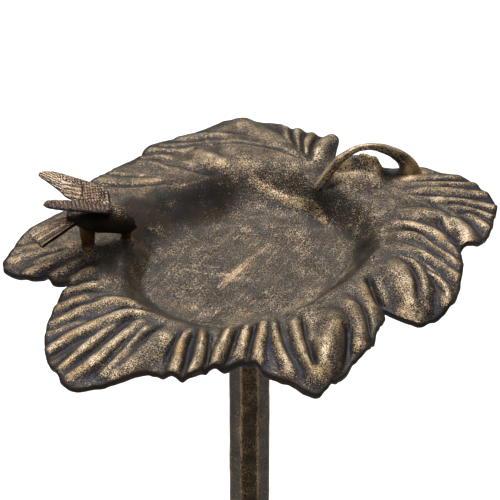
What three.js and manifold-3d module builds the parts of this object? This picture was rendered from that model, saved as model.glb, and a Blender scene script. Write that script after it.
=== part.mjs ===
// Leaf-shaped bird bath on an octagonal post. Millimetres, +Z up. The origin is on the ground,
// on the post's axis. +Y points at the back of the leaf, +X at the lobe where the stem lands.
import * as THREE from 'three';
import { mergeVertices } from 'three/addons/utils/BufferGeometryUtils.js';
import Module from 'manifold-3d';

const wasm = await Module();
wasm.setup();

// Clearance between pieces that touch
const GAP = 0.3;

// Leaf bowl
const FLOOR_Z = 700;
const BASIN_CENTRE = [2, -8];
const LEAF_THICKNESS = 5;
const FLOOR_DISH = 1.5;
const SPOKE_STEP_DEG = 3.2;
const DROOP_POWER = 1.7;
const RIB_UNDERSIDE_SHARE = 0.5;
const FLOOR_RINGS = 1;
const WALL_RINGS = 4;
const LOBE_RINGS = 6;
const BOSS_R = 22;
const BOSS_BOTTOM_Z = 675;
const BORE_TOP_Z = 693;

// Threaded spigot of the post cap, drawn as a plain cylinder
const SPIGOT_R = 12;
const SPIGOT_TOP_Z = 691;
const SEAT_WASHER = { inner: 12.3, outer: 23, thick: 2.4 };
const CAP_FLANGE_R = 25;
const CAP_FLANGE_THICK = 8;
const CAP_PLUG_LENGTH = 24;
const CAP_FLANGE_TOP_Z = BOSS_BOTTOM_Z - 2 * GAP - SEAT_WASHER.thick;

// Post
const POST_ACROSS_FLATS = 38;
const POST_BORE_ACROSS_FLATS = 30;
const POST_ROUNDING = 2.5;
const POST_JOINT_Z = 380;
const POST_FOOT_Z = 74.3;
const SPIGOT_LENGTH = 24;
const LOWER_POST_BORE_R = 11;

// Tie rod and its hardware
const ROD_R = 6;
const ROD_BOTTOM_Z = 50;
const ROD_TOP_Z = CAP_FLANGE_TOP_Z - 14;
const ROD_NUT = { acrossFlats: 19, height: 10 };
const ROD_WASHER = { inner: 6.4, outer: 14, thick: 2.4 };

// Base casting, and the rubber feet under its rim
const BASE_R = 140;
const BASE_BOTTOM_Z = 5.3;
const SOCKET_FLOOR_Z = 74;
const SOCKET_TOP_Z = 104;
const BASE_CEILING_Z = 67.5;
const FOOT = { r: 9, height: 5, pegR: 3, pegTop: 11, ringR: 129, count: 4 };

// Bird, in its own frame: x forwards, y to its left, z up, origin at the middle of the body
const BIRD_CENTRE = [-137, -15, FLOOR_Z + 60];
const BIRD_YAW_DEG = 8;
const BODY_COLUMNS = 20;
const REAR_PEG = { at: [-146.5, -14], topR: 8.6, bottomR: 5.6, topZ: FLOOR_Z + 54, screwR: 2.5 };
const FRONT_PEG = { at: [-112, -6], topR: 6, bottomR: 4, topZ: FLOOR_Z + 48, screwR: 1.5 };
const PEG_PAD_MARGIN = 3;
const PEG_PAD_DROP = 12;
const PEG_SEAT_PROUD = 0.5;
const PEG_HOLE_DEPTH = 13;
const PEG_WASHER_THICK = 1.2;

// Rim of the leaf, anticlockwise about the basin centre: degrees, radius, height over the floor
const LEAF_EDGE = [
  [1.5, 193, 16], [3, 209, 14], [6, 216, 14], [11, 226, 13], [15.5, 234, 13], [19, 242, 13],
  [21, 243, 14], [24.5, 241, 16], [28, 236, 18], [31.5, 230, 20], [35, 217, 21], [39, 209, 22],
  [43, 186, 24], [47, 163, 31], [51, 145, 35], [55, 132, 32], [59, 134, 29], [61.3, 164, 27],
  [62.8, 177, 26], [64.2, 191, 24], [70, 193, 24], [75, 198, 23], [79.5, 203, 22], [82.5, 209, 22],
  [88.6, 210, 22], [92, 216, 22], [97, 213, 22], [101, 206, 22], [107, 199, 22], [113, 195, 22],
  [119, 196, 22], [122, 192, 22], [126.5, 181, 24], [137, 182, 24], [145, 184, 24],
  [155, 182, 24], [161, 183, 23], [165, 191, 22], [171, 208, 19], [176, 215, 17], [180, 220, 16],
  [183, 227, 12], [185, 227, 12], [187.5, 219, 12], [190, 206, 13], [192, 191, 16],
  [195.5, 184, 17], [197, 173, 18], [202, 186, 15], [207, 200, 13], [212.5, 217, 10],
  [219, 233, 8], [224.5, 240, 6], [228.5, 246, 4], [231, 244, 4], [234, 230, 5], [237.5, 218, 6],
  [240, 202, 7], [243, 193, 8], [250, 191, 8], [253.5, 187, 8], [256.5, 174, 10], [261, 171, 10],
  [263.5, 165, 10], [267.5, 160, 10], [271, 166, 10], [274.5, 177, 10], [280.5, 188, 8],
  [283.5, 201, 6], [286, 207, 5], [290.5, 200, 7], [295.5, 191, 9], [299.5, 181, 10],
  [304, 178, 11], [312, 166, 12], [319.5, 156, 13], [323.2, 147, 14], [324.6, 156, 10],
  [325.3, 169, 1], [326.4, 179, -2], [329, 184, 3], [333, 189.5, 8], [338, 196, 13],
  [342, 196.5, 16], [347, 195, 17], [355, 192, 17], [359.5, 189, 17],
];

// Basin: degrees, radius at the foot of the wall, radius of the crest, height of the crest
const BASIN = [
  [0, 86, 122, 27], [20, 89, 130, 28], [33, 94, 129, 29], [43, 95, 118, 28], [53, 94, 108, 27],
  [62, 92, 116, 30], [72, 88, 129, 33], [84, 85, 132, 33], [98, 80, 131, 33], [107, 76, 118, 30],
  [117, 73, 111, 29], [131, 72, 116, 28], [144, 73, 126, 27], [158, 78, 128, 26],
  [171, 87, 119, 28], [184, 93, 117, 28], [197, 101, 125, 25], [212, 104, 136, 21],
  [236, 102, 134, 20], [255, 99, 132, 22], [267, 95, 126, 23], [280, 89, 118, 24],
  [296, 83, 110, 25], [312, 79, 106, 26], [328, 78, 106, 26], [344, 82, 112, 27],
];

// Ribs that fade in from the crest: start x, y, middle x, y, end x, y, half width, height
const RIBS = [
  // left lobe
  [-170, -13, -198, -16, -216, -19, 5, 2.5],
  [-154, -20, -176, -25, -192, -29, 5, 2.8],
  [-150, -32, -166, -41, -180, -51, 6, 3],
  // front left lobe
  [-136, -44, -149, -52, -158, -58, 5, 2.5],
  [-137, -83, -155, -87, -170, -94, 6, 3],
  [-96, -100, -130, -91, -173, -116, 6, 3.4],
  [-136, -111, -160, -122, -178, -129, 6, 2.2],
  [-74, -121, -109, -109, -175, -150, 6, 3.8],
  [-116, -123, -140, -147, -166, -177, 6, 3.6],
  [-84, -120, -112, -142, -156, -186, 6, 4],
  [-85, -124, -106, -158, -126, -183, 6, 3.4],
  [-65, -130, -90, -161, -114, -185, 9, 4.5],
  // front right lobe
  [39, -117, 46, -156, 57, -188, 6, 6.5],
  [69, -108, 75, -140, 62, -186, 11, 9],
  [83, -92, 96, -117, 97, -150, 7, 5.5],
  [96, -72, 109, -100, 112, -130, 7, 4.5],
  // lower right lobe
  [123, -36, 141, -73, 146, -107, 12, 8.5],
  [149, -33, 169, -57, 177, -85, 6, 4],
  [138, -14, 166, -31, 190, -56, 6, 4.5],
  [134, 6, 163, -4, 190, -36, 6, 4.5],
  [131, 22, 161, 13, 190, -16, 7, 4.5],
  // upper right lobe
  [137, 32, 167, 37, 184, 21, 9, 4.5],
  [178, 40, 196, 19, 201, -1, 9, 6.5],
  [182, 57, 201, 58, 227, 50, 6, 2.2],
  [148, 76, 178, 82, 219, 85, 6, 2.4],
  [144, 86, 174, 91, 209, 98, 6, 2],
  // back lobe
  [44, 127, 20, 163, -5, 197, 10, 2.5],
  [49, 131, 45, 160, 46, 182, 6, 4],
  [63, 117, 70, 148, 80, 165, 8, 8],
  [-24, 108, -35, 122, -47, 136, 9, 3.5],
  [-54, 106, -77, 121, -103, 125, 7, 2],
  // curled ear beside the stem, and the swelling that the bird stands on
  [78, 76, 96, 92, 112, 98, 14, 7],
  [80, 92, 97, 103, 118, 103, 8, 12],
  [100, 102, 108, 104, 118, 104, 5, 18],
  [-174, -16, -146, -13, -106, -5, 15, 3.5],
];

// Ribs of the front rim, with a blunt head at the crest: the same columns
const KNUCKLES = [
  [-54, -138, -61, -161, -68, -187, 5, 5],
  [-42, -138, -43, -163, -51, -187, 5, 5],
  [-16, -136, -24, -159, -31, -178, 5, 5.5],
  [15, -126, 9, -151, 7, -171, 6, 5.5],
  [20, -126, 26, -156, 35, -184, 6, 4.5],
];
const RIB_HEAD = 0.12;
const KNUCKLE_HEAD = 0.55;

// Stem loop: x, y, height over the floor, radius. Its plan is nearly straight, square to STEM_ACROSS.
const STEM = [
  [62.5, 79, 27, 3.8], [67, 81, 33, 4.4], [75, 84.5, 44, 4.7], [83, 87.5, 53, 4.4],
  [98, 94, 60.8, 3.3], [108, 97.5, 61.3, 3.2], [118, 101, 58.8, 3.8], [127, 105, 53.6, 4.8],
  [137, 109, 46.2, 5.9], [144, 112, 38.6, 7], [149, 114, 30, 8.4], [151.5, 115.5, 20.5, 10.5],
];

const STEM_ACROSS = [0.37, -0.93, 0];
const STEM_STEPS = 30;
const STEM_SIDES_PER_HALF = 7;

// Bird's body from tail to beak: x, height of the middle, half width, upwards, downwards
const BIRD_BODY = [
  [-28, 3.5, 4, 2.5, 3], [-22, 2.5, 7.5, 5.5, 7], [-13, 1, 10, 8.5, 12], [-3, 0, 11.5, 11, 15],
  [7, 0, 12, 12.5, 16.5], [14, -2, 11.5, 12, 15.5], [20, -4, 10.3, 11.2, 15], [25, -6, 8.8, 10, 14],
  [29.5, -9, 6.6, 8.4, 10.5], [32.8, -12, 4, 6, 5], [34.8, -14.5, 1.6, 2.6, 1.6],
];

// Wing outline in its own plane: millimetres along the wing, then across it
const WING = [
  [0, -1], [0, 10], [2, 13.5], [7, 15.6], [18, 15.6], [31, 14], [52, 10.8], [64, 6], [69.5, 2],
  [70.7, -0.6], [69.5, -2.4], [62.5, -4.6], [51, -9.2], [45, -12.8], [34, -12.5], [15, -9.5], [3, -6],
];
const WING_ROOT = [12.5, 2.6, 9.5];
const WING_ALONG = [-0.887, 0.313, 0.349];
// Direction across the left wing and across the right one, which lies flatter
const LEFT_ACROSS = [0, 0.905, 0.425];
const RIGHT_ACROSS = [0, 0.955, 0.297];
const WING_THICKNESS = 3;
const WING_REACH = 100;
const WING_HALF_LENGTH = 35;
const WING_HALF_WIDTH = 12;

// Tail fan: x, y in the plane of the tail, from its root
const TAIL = [[4, 5], [-12, 8], [-41, 13], [-43.4, 8.7], [-42, 4.3], [-42.2, 0], [-41, -4.3],
  [-41, -8.7], [-39.6, -13], [-12, -8], [4, -5]];
const TAIL_ROOT = [-20, 0, 0];
const TAIL_DROOP_DEG = 17;
const TAIL_TURN_DEG = 17;
const TAIL_THICKNESS = 3.5;

const COLOURS = {
  leaf: [0x4b443c, 0.55, 0.75],
  bird: [0x6b5640, 0.55, 0.7],
  post: [0x2a2320, 0.6, 0.6],
  base: [0x3a332d, 0.6, 0.65],
  steel: [0xb8b8b4, 0.3, 1],
  rubber: [0x1c1c1c, 0.85, 0],
};

// Joins equal vertices, drops flat triangles and turns every face outwards
function closed(geometry) {
  const bare = geometry.clone();
  bare.deleteAttribute('normal');
  bare.deleteAttribute('uv');
  const merged = mergeVertices(bare, 1e-4);
  const p = merged.attributes.position;
  const index = merged.index.array;
  const corner = (k) => new THREE.Vector3().fromBufferAttribute(p, index[k]);
  const kept = [];
  let volume = 0;
  for (let k = 0; k < index.length; k += 3) {
    const [a, b, c] = [index[k], index[k + 1], index[k + 2]];
    const same = a === b || b === c || a === c;
    if (!same) {
      kept.push(a, b, c);
      volume += corner(k).dot(corner(k + 1).cross(corner(k + 2)));
    }
  }
  if (volume < 0) {
    kept.reverse();
  }
  merged.setIndex(kept);
  return merged;
}

function toSolid(geometry) {
  const g = closed(geometry);
  return new wasm.Manifold(new wasm.Mesh({
    numProp: 3,
    vertProperties: Float32Array.from(g.attributes.position.array),
    triVerts: Uint32Array.from(g.index.array),
  }));
}

function toGeometry(solid) {
  const mesh = solid.getMesh();
  const geometry = new THREE.BufferGeometry();
  const stride = mesh.numProp;
  const flat = [];
  for (let k = 0; k < mesh.vertProperties.length; k += stride) {
    flat.push(mesh.vertProperties[k], mesh.vertProperties[k + 1], mesh.vertProperties[k + 2]);
  }
  geometry.setAttribute('position', new THREE.Float32BufferAttribute(flat, 3));
  geometry.setIndex(Array.from(mesh.triVerts));
  return geometry;
}

// Periodic interpolation through rows of [degrees, values...] that never overshoots its points
function around(rows, column) {
  const last = rows.length - 1;
  const padded = [[rows[last][0] - 360, rows[last][column]]];
  rows.forEach((row) => padded.push([row[0], row[column]]));
  padded.push([rows[0][0] + 360, rows[0][column]]);
  const step = padded.slice(1).map((row, i) => row[0] - padded[i][0]);
  const secant = padded.slice(1).map((row, i) => (row[1] - padded[i][1]) / step[i]);
  const slope = padded.map((row, i) => {
    const before = secant[i - 1] ?? 0;
    const after = secant[i] ?? 0;
    return before * after > 0 ? 2 * before * after / (before + after) : 0;
  });
  slope[0] = slope[slope.length - 2];
  slope[slope.length - 1] = slope[1];
  return (degrees) => {
    const start = padded[0][0];
    const a = ((degrees - start) % 360 + 360) % 360 + start;
    let i = 0;
    while (i < step.length - 1 && padded[i + 1][0] <= a) {
      i += 1;
    }
    const t = (a - padded[i][0]) / step[i];
    const t2 = t * t;
    const t3 = t2 * t;
    return (2 * t3 - 3 * t2 + 1) * padded[i][1] + (t3 - 2 * t2 + t) * step[i] * slope[i]
      + (3 * t2 - 2 * t3) * padded[i + 1][1] + (t3 - t2) * step[i] * slope[i + 1];
  };
}

const edgeRadius = around(LEAF_EDGE, 1);
const edgeHeight = around(LEAF_EDGE, 2);
const footRadius = around(BASIN, 1);
const crestRadius = around(BASIN, 2);
const crestHeight = around(BASIN, 3);

// Height of a rib at a point: a rounded ridge along a line of two straight parts. head is the
// share of its height that it starts with.
function ribHeight(rib, head, x, y) {
  const [x0, y0, x1, y1, x2, y2, half, height] = rib;
  let best = 0;
  for (const [ax, ay, bx, by, from] of [[x0, y0, x1, y1, 0], [x1, y1, x2, y2, 0.5]]) {
    const length2 = (bx - ax) ** 2 + (by - ay) ** 2;
    const s = THREE.MathUtils.clamp(((x - ax) * (bx - ax) + (y - ay) * (by - ay)) / length2, 0, 1);
    const away = Math.hypot(x - ax - s * (bx - ax), y - ay - s * (by - ay)) / half;
    const along = from + s / 2;
    const taper = Math.min(1, head + 3.5 * along);
    best = Math.max(best, height * taper * Math.exp(-away * away));
  }
  return best;
}

// Height of the leaf over the basin floor, without its ribs and then with them
function leafHeight(degrees, radius) {
  const crest = crestRadius(degrees);
  const top = crestHeight(degrees);
  const floor = footRadius(degrees);
  if (radius > crest) {
    const t = (radius - crest) / (edgeRadius(degrees) - crest);
    return top + (edgeHeight(degrees) - top) * t ** DROOP_POWER;
  }
  const w = THREE.MathUtils.clamp((radius - floor) / (crest - floor), 0, 1);
  const dish = FLOOR_DISH * Math.min(1, radius / floor) ** 2 * (1 - w);
  return top * w * w * (3 - 2 * w) + dish;
}

function ribsAt(x, y) {
  const ribs = RIBS.map((rib) => ribHeight(rib, RIB_HEAD, x, y));
  const knuckles = KNUCKLES.map((rib) => ribHeight(rib, KNUCKLE_HEAD, x, y));
  return Math.max(0, ...ribs, ...knuckles);
}

function leafHeightAt(x, y) {
  const dx = x - BASIN_CENTRE[0];
  const dy = y - BASIN_CENTRE[1];
  return leafHeight(THREE.MathUtils.radToDeg(Math.atan2(dy, dx)), Math.hypot(dx, dy)) + ribsAt(x, y);
}

// Directions of the leaf's spokes: every rim point, and even steps between them
function spokeAngles() {
  const out = [];
  LEAF_EDGE.forEach(([from], i) => {
    const to = i + 1 < LEAF_EDGE.length ? LEAF_EDGE[i + 1][0] : LEAF_EDGE[0][0] + 360;
    const parts = Math.ceil((to - from) / SPOKE_STEP_DEG);
    for (let k = 0; k < parts; k += 1) {
      out.push(from + (to - from) * k / parts);
    }
  });
  return out;
}

// Radius of each ring on one spoke
function ringRadii(degrees) {
  const crest = crestRadius(degrees);
  const floor = footRadius(degrees);
  const edge = edgeRadius(degrees);
  const out = [];
  for (let k = 1; k <= FLOOR_RINGS; k += 1) {
    out.push(floor * k / FLOOR_RINGS);
  }
  for (let k = 1; k <= WALL_RINGS; k += 1) {
    out.push(floor + (crest - floor) * k / WALL_RINGS);
  }
  for (let k = 1; k <= LOBE_RINGS; k += 1) {
    out.push(crest + (edge - crest) * k / LOBE_RINGS);
  }
  return out;
}

// The leaf's skin: a lathed disc whose rings and spokes are then moved into place
function leafSkin() {
  const spokes = spokeAngles();
  const rings = FLOOR_RINGS + WALL_RINGS + LOBE_RINGS;
  const profile = [new THREE.Vector2(0, 1)];
  for (let k = 1; k <= rings; k += 1) {
    profile.push(new THREE.Vector2(k, 1));
  }
  for (let k = rings; k >= 1; k -= 1) {
    profile.push(new THREE.Vector2(k, -1));
  }
  profile.push(new THREE.Vector2(0, -1));
  const skin = new THREE.LatheGeometry(profile, spokes.length);
  const p = skin.attributes.position;
  for (let i = 0; i < p.count; i += 1) {
    const spoke = Math.floor(i / profile.length) % spokes.length;
    const row = i % profile.length;
    const top = row <= rings;
    const ring = top ? row : 2 * rings + 1 - row;
    const degrees = spokes[spoke];
    const radius = ring > 0 ? ringRadii(degrees)[ring - 1] : 0;
    const angle = THREE.MathUtils.degToRad(degrees);
    const x = BASIN_CENTRE[0] + radius * Math.cos(angle);
    const y = BASIN_CENTRE[1] + radius * Math.sin(angle);
    const smooth = leafHeight(degrees, radius);
    const inwards = radius > 1 ? leafHeight(degrees, radius - 1) : smooth;
    const steep = Math.hypot(1, smooth - inwards);
    const z = top ? smooth + ribsAt(x, y)
      : smooth + RIB_UNDERSIDE_SHARE * ribsAt(x, y) - LEAF_THICKNESS * steep;
    p.setXYZ(i, x, y, FLOOR_Z + z);
  }
  return toSolid(skin);
}

function lathe(points, segments = 32) {
  const profile = points.map(([r, z]) => new THREE.Vector2(r, z));
  return toSolid(new THREE.LatheGeometry(profile, segments).rotateX(Math.PI / 2));
}

function rod(x, y, r, bottom, top, segments = 24) {
  return lathe([[0, bottom], [r, bottom], [r, top], [0, top]], segments).translate([x, y, 0]);
}

function ring(x, y, inner, outer, bottom, top, segments = 32) {
  const section = [[inner, bottom], [outer, bottom], [outer, top], [inner, top], [inner, bottom]];
  return lathe(section, segments).translate([x, y, 0]);
}

// Octagon with rounded corners, one flat facing -Y
function octagon(acrossFlats, rounding) {
  const shape = new THREE.Shape();
  const cornerR = acrossFlats / 2 / Math.cos(Math.PI / 8);
  const back = rounding * Math.tan(Math.PI / 8);
  for (let k = 0; k < 8; k += 1) {
    const corner = (j) => {
      const a = Math.PI / 8 + j * Math.PI / 4;
      return new THREE.Vector2(cornerR * Math.cos(a), cornerR * Math.sin(a));
    };
    const here = corner(k);
    const before = corner(k - 1).sub(here).normalize().multiplyScalar(back).add(here);
    const after = corner(k + 1).sub(here).normalize().multiplyScalar(back).add(here);
    if (k === 0) {
      shape.moveTo(before.x, before.y);
    } else {
      shape.lineTo(before.x, before.y);
    }
    shape.quadraticCurveTo(here.x, here.y, after.x, after.y);
  }
  shape.closePath();
  return shape;
}

function prism(shape, bottom, top, curveSegments = 3) {
  const settings = { depth: top - bottom, bevelEnabled: false, curveSegments };
  const geometry = new THREE.ExtrudeGeometry(shape, settings);
  return toSolid(geometry.translate(0, 0, bottom));
}

function hexagon(acrossFlats) {
  const r = acrossFlats / 2 / Math.cos(Math.PI / 6);
  const corners = [...Array(6).keys()].map((k) => {
    const a = k * Math.PI / 3;
    return new THREE.Vector2(r * Math.cos(a), r * Math.sin(a));
  });
  return new THREE.Shape(corners);
}

// Round bar along the stem's curve, its radius growing by extra
function stemSolid(extra) {
  const points = STEM.map(([x, y, z]) => new THREE.Vector3(x, y, FLOOR_Z + z));
  const path = new THREE.CatmullRomCurve3(points);
  const circle = new THREE.Shape();
  circle.absarc(0, 0, 1, 0, 2 * Math.PI);
  const bar = new THREE.ExtrudeGeometry(circle, {
    depth: 1, steps: STEM_STEPS, bevelEnabled: false, curveSegments: STEM_SIDES_PER_HALF,
  });
  const p = bar.attributes.position;
  const across = new THREE.Vector3(...STEM_ACROSS).normalize();
  for (let i = 0; i < p.count; i += 1) {
    const t = Math.min(1, Math.max(0, p.getZ(i)));
    const at = t * (STEM.length - 1);
    const k = Math.min(Math.floor(at), STEM.length - 2);
    const radius = STEM[k][3] + (STEM[k + 1][3] - STEM[k][3]) * (at - k) + extra;
    const centre = path.getPoint(t);
    const tangent = path.getTangent(t);
    const side = across.clone().addScaledVector(tangent, -across.dot(tangent)).normalize();
    const up = new THREE.Vector3().crossVectors(tangent, side);
    const end = t === 0 ? -extra : t === 1 ? extra : 0;
    centre.addScaledVector(side, radius * p.getX(i)).addScaledVector(up, radius * p.getY(i));
    centre.addScaledVector(tangent, end);
    p.setXYZ(i, centre.x, centre.y, centre.z);
  }
  return toSolid(bar);
}

// Height of the flat seat under a peg
function pegSeatZ(peg) {
  return FLOOR_Z + leafHeightAt(...peg.at) + PEG_SEAT_PROUD;
}

function leafBowl() {
  let leaf = leafSkin();
  leaf = leaf.add(rod(0, 0, BOSS_R, BOSS_BOTTOM_Z, FLOOR_Z - 2, 40));
  leaf = leaf.subtract(rod(0, 0, SPIGOT_R + GAP, BOSS_BOTTOM_Z - 1, BORE_TOP_Z, 32));
  for (const peg of [REAR_PEG, FRONT_PEG]) {
    const [x, y] = peg.at;
    const seat = pegSeatZ(peg);
    const padR = peg.bottomR + PEG_PAD_MARGIN;
    leaf = leaf.add(rod(x, y, peg.bottomR + 1, seat - 8, seat));
    leaf = leaf.subtract(rod(x, y, peg.bottomR + 1, seat, seat + 20));
    leaf = leaf.add(rod(x, y, padR, seat - PEG_PAD_DROP, seat - 4));
    leaf = leaf.subtract(rod(x, y, padR + 8, seat - PEG_PAD_DROP - 12, seat - PEG_PAD_DROP));
    leaf = leaf.subtract(rod(x, y, peg.screwR + GAP, seat - 30, seat + 2));
  }
  return leaf.subtract(stemSolid(GAP));
}

// Moves a solid from the bird's frame into the part's
function placeBird(solid) {
  return solid.rotate([0, 0, BIRD_YAW_DEG]).translate(BIRD_CENTRE);
}

// Lathed bar whose rings are moved to the body's sections, with the x axis along it
function loft(sections, columns) {
  const last = sections.length - 1;
  const profile = [new THREE.Vector2(0, 0)];
  sections.forEach((_, row) => profile.push(new THREE.Vector2(1, row)));
  profile.push(new THREE.Vector2(0, last));
  const bar = new THREE.LatheGeometry(profile, columns);
  const p = bar.attributes.position;
  for (let i = 0; i < p.count; i += 1) {
    const row = Math.min(last, Math.max(0, i % profile.length - 1));
    const [x, middle, half, up, down] = sections[row];
    const side = p.getX(i);
    const rise = p.getZ(i);
    p.setXYZ(i, x, half * side, middle + (rise > 0 ? up : down) * rise);
  }
  return toSolid(bar);
}

// Plate with the wing's outline, ending at the bird's middle plane. side is 1 for the left wing
// and -1 for the right one; grow makes it larger all round, for the slot it is brazed into.
function wingPlate(side, grow) {
  const shape = new THREE.Shape(WING.map(([p, q]) => new THREE.Vector2(p, q)));
  const thick = WING_THICKNESS + 2 * grow;
  const plate = new THREE.ExtrudeGeometry(shape, { depth: thick, bevelEnabled: false });
  const along = new THREE.Vector3(...WING_ALONG);
  const across = new THREE.Vector3(...(side > 0 ? LEFT_ACROSS : RIGHT_ACROSS));
  const normal = new THREE.Vector3().crossVectors(along, across).normalize();
  const p = plate.attributes.position;
  for (let i = 0; i < p.count; i += 1) {
    const v = new THREE.Vector3(...WING_ROOT)
      .addScaledVector(along, p.getX(i) * (1 + 2 * grow / WING_HALF_LENGTH) - grow)
      .addScaledVector(across, p.getY(i) * (1 + 2 * grow / WING_HALF_WIDTH))
      .addScaledVector(normal, p.getZ(i) - thick / 2);
    p.setXYZ(i, v.x, side * v.y, v.z);
  }
  const beyond = new THREE.BoxGeometry(2 * WING_REACH, WING_REACH, 2 * WING_REACH);
  beyond.translate(0, side * (GAP / 2 - grow - WING_REACH / 2), 0);
  return toSolid(plate).subtract(toSolid(beyond));
}

function tailFan() {
  const shape = new THREE.Shape(TAIL.map(([x, y]) => new THREE.Vector2(x, y)));
  const plate = new THREE.ExtrudeGeometry(shape, { depth: TAIL_THICKNESS, bevelEnabled: false });
  plate.translate(0, 0, -TAIL_THICKNESS / 2);
  plate.rotateY(THREE.MathUtils.degToRad(-TAIL_DROOP_DEG));
  plate.rotateZ(THREE.MathUtils.degToRad(TAIL_TURN_DEG));
  return toSolid(plate.translate(...TAIL_ROOT));
}

function pegSolid(peg) {
  const seat = pegSeatZ(peg) + GAP;
  const section = [[0, seat], [peg.bottomR, seat], [peg.topR, peg.topZ], [0, peg.topZ]];
  const body = lathe(section, 20);
  return body.translate([...peg.at, 0]);
}

function birdBody() {
  let bird = loft(BIRD_BODY, BODY_COLUMNS);
  bird = bird.add(tailFan());
  for (const side of [1, -1]) {
    bird = bird.subtract(wingPlate(side, GAP));
  }
  bird = placeBird(bird);
  for (const peg of [REAR_PEG, FRONT_PEG]) {
    const seat = pegSeatZ(peg);
    bird = bird.add(pegSolid(peg));
    bird = bird.subtract(rod(...peg.at, peg.screwR + GAP, seat - 2, seat + PEG_HOLE_DEPTH));
  }
  return bird;
}

function pegWasher(peg) {
  const top = pegSeatZ(peg) - PEG_PAD_DROP - GAP;
  const outer = peg.screwR * 2 + PEG_WASHER_THICK;
  return ring(...peg.at, peg.screwR + GAP, outer, top - PEG_WASHER_THICK, top, 24);
}

// Round-headed screw from below the leaf into a peg
function pegScrew(peg) {
  const headTop = pegSeatZ(peg) - PEG_PAD_DROP - PEG_WASHER_THICK - 2 * GAP;
  const tip = pegSeatZ(peg) + PEG_HOLE_DEPTH - 1;
  const r = peg.screwR;
  const section = [[0, headTop - 1.4 * r], [1.2 * r, headTop - 1.3 * r], [1.9 * r, headTop - 0.6 * r],
    [1.9 * r, headTop], [r, headTop], [r, tip - 0.6], [r - 0.6, tip], [0, tip]];
  return lathe(section, 20).translate([...peg.at, 0]);
}

function seatWasher() {
  const bottom = CAP_FLANGE_TOP_Z + GAP;
  return ring(0, 0, SEAT_WASHER.inner, SEAT_WASHER.outer, bottom, bottom + SEAT_WASHER.thick, 40);
}

// Cap on the post: a flange, the spigot above it and a plug in the post below it
function postCap() {
  const flangeBottom = CAP_FLANGE_TOP_Z - CAP_FLANGE_THICK;
  const section = [
    [0, flangeBottom], [CAP_FLANGE_R - 2, flangeBottom], [CAP_FLANGE_R, flangeBottom + 2],
    [CAP_FLANGE_R, CAP_FLANGE_TOP_Z - 1.5], [CAP_FLANGE_R - 1.5, CAP_FLANGE_TOP_Z],
    [SPIGOT_R, CAP_FLANGE_TOP_Z], [SPIGOT_R, SPIGOT_TOP_Z - 1.5], [SPIGOT_R - 1.5, SPIGOT_TOP_Z],
    [0, SPIGOT_TOP_Z],
  ];
  const plug = octagon(POST_BORE_ACROSS_FLATS - 2 * GAP, POST_ROUNDING);
  const plugBottom = flangeBottom - CAP_PLUG_LENGTH;
  let cap = lathe(section, 40);
  cap = cap.add(prism(plug, plugBottom, flangeBottom + 1));
  return cap.subtract(rod(0, 0, ROD_R + GAP, plugBottom - 1, ROD_TOP_Z + GAP));
}

function upperPost() {
  const top = CAP_FLANGE_TOP_Z - CAP_FLANGE_THICK - GAP;
  const outside = prism(octagon(POST_ACROSS_FLATS, POST_ROUNDING), POST_JOINT_Z + GAP, top);
  const bore = prism(octagon(POST_BORE_ACROSS_FLATS, POST_ROUNDING), POST_JOINT_Z - 1, top + 1);
  return outside.subtract(bore);
}

// Lower post, with the spigot at its top that lines up the upper post
function lowerPost() {
  let post = prism(octagon(POST_ACROSS_FLATS, POST_ROUNDING), POST_FOOT_Z, POST_JOINT_Z);
  const spigot = octagon(POST_BORE_ACROSS_FLATS - 2 * GAP, POST_ROUNDING);
  post = post.add(prism(spigot, POST_JOINT_Z - 20, POST_JOINT_Z + SPIGOT_LENGTH));
  return post.subtract(rod(0, 0, LOWER_POST_BORE_R, POST_FOOT_Z - 1, POST_JOINT_Z + SPIGOT_LENGTH + 1));
}

function baseCasting() {
  const under = BASE_BOTTOM_Z;
  const section = [
    [118, under], [BASE_R - 1.5, under], [BASE_R, under + 1.5], [BASE_R, 13], [BASE_R - 3, 16.5],
    [131, 19], [122, 21], [112, 27], [96, 35], [80, 41], [64, 48], [52, 57], [43, 69], [38, 80],
    [36, 84], [33, 86], [32, 90], [32, 96], [34, 98.5], [34, 101.5], [32, SOCKET_TOP_Z],
    [0, SOCKET_TOP_Z], [0, BASE_CEILING_Z], [28, BASE_CEILING_Z], [34, 60], [44, 49],
    [58, 40], [76, 33], [94, 27], [108, 19.5], [116, 15], [118, under],
  ];
  let base = lathe(section, 48);
  const socket = octagon(POST_ACROSS_FLATS + 2 * GAP, POST_ROUNDING);
  base = base.subtract(prism(socket, SOCKET_FLOOR_Z, SOCKET_TOP_Z + 1));
  base = base.subtract(rod(0, 0, ROD_R + GAP, 60, SOCKET_FLOOR_Z + 1));
  for (const [x, y] of footPlaces()) {
    base = base.subtract(rod(x, y, FOOT.pegR + GAP, under - 1, FOOT.pegTop + GAP, 16));
  }
  return base;
}

function footPlaces() {
  return [...Array(FOOT.count).keys()].map((k) => {
    const a = Math.PI / 4 + k * 2 * Math.PI / FOOT.count;
    return [FOOT.ringR * Math.cos(a), FOOT.ringR * Math.sin(a)];
  });
}

function foot([x, y]) {
  const section = [[0, 0], [FOOT.r - 1, 0], [FOOT.r, 1.2], [FOOT.r, FOOT.height - 0.6],
    [FOOT.r - 0.6, FOOT.height], [FOOT.pegR, FOOT.height], [FOOT.pegR, FOOT.pegTop], [0, FOOT.pegTop]];
  return lathe(section, 20).translate([x, y, 0]);
}

function tieRod() {
  const section = [[0, ROD_BOTTOM_Z], [ROD_R - 1, ROD_BOTTOM_Z], [ROD_R, ROD_BOTTOM_Z + 1],
    [ROD_R, ROD_TOP_Z - 1], [ROD_R - 1, ROD_TOP_Z], [0, ROD_TOP_Z]];
  return lathe(section, 24);
}

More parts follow.
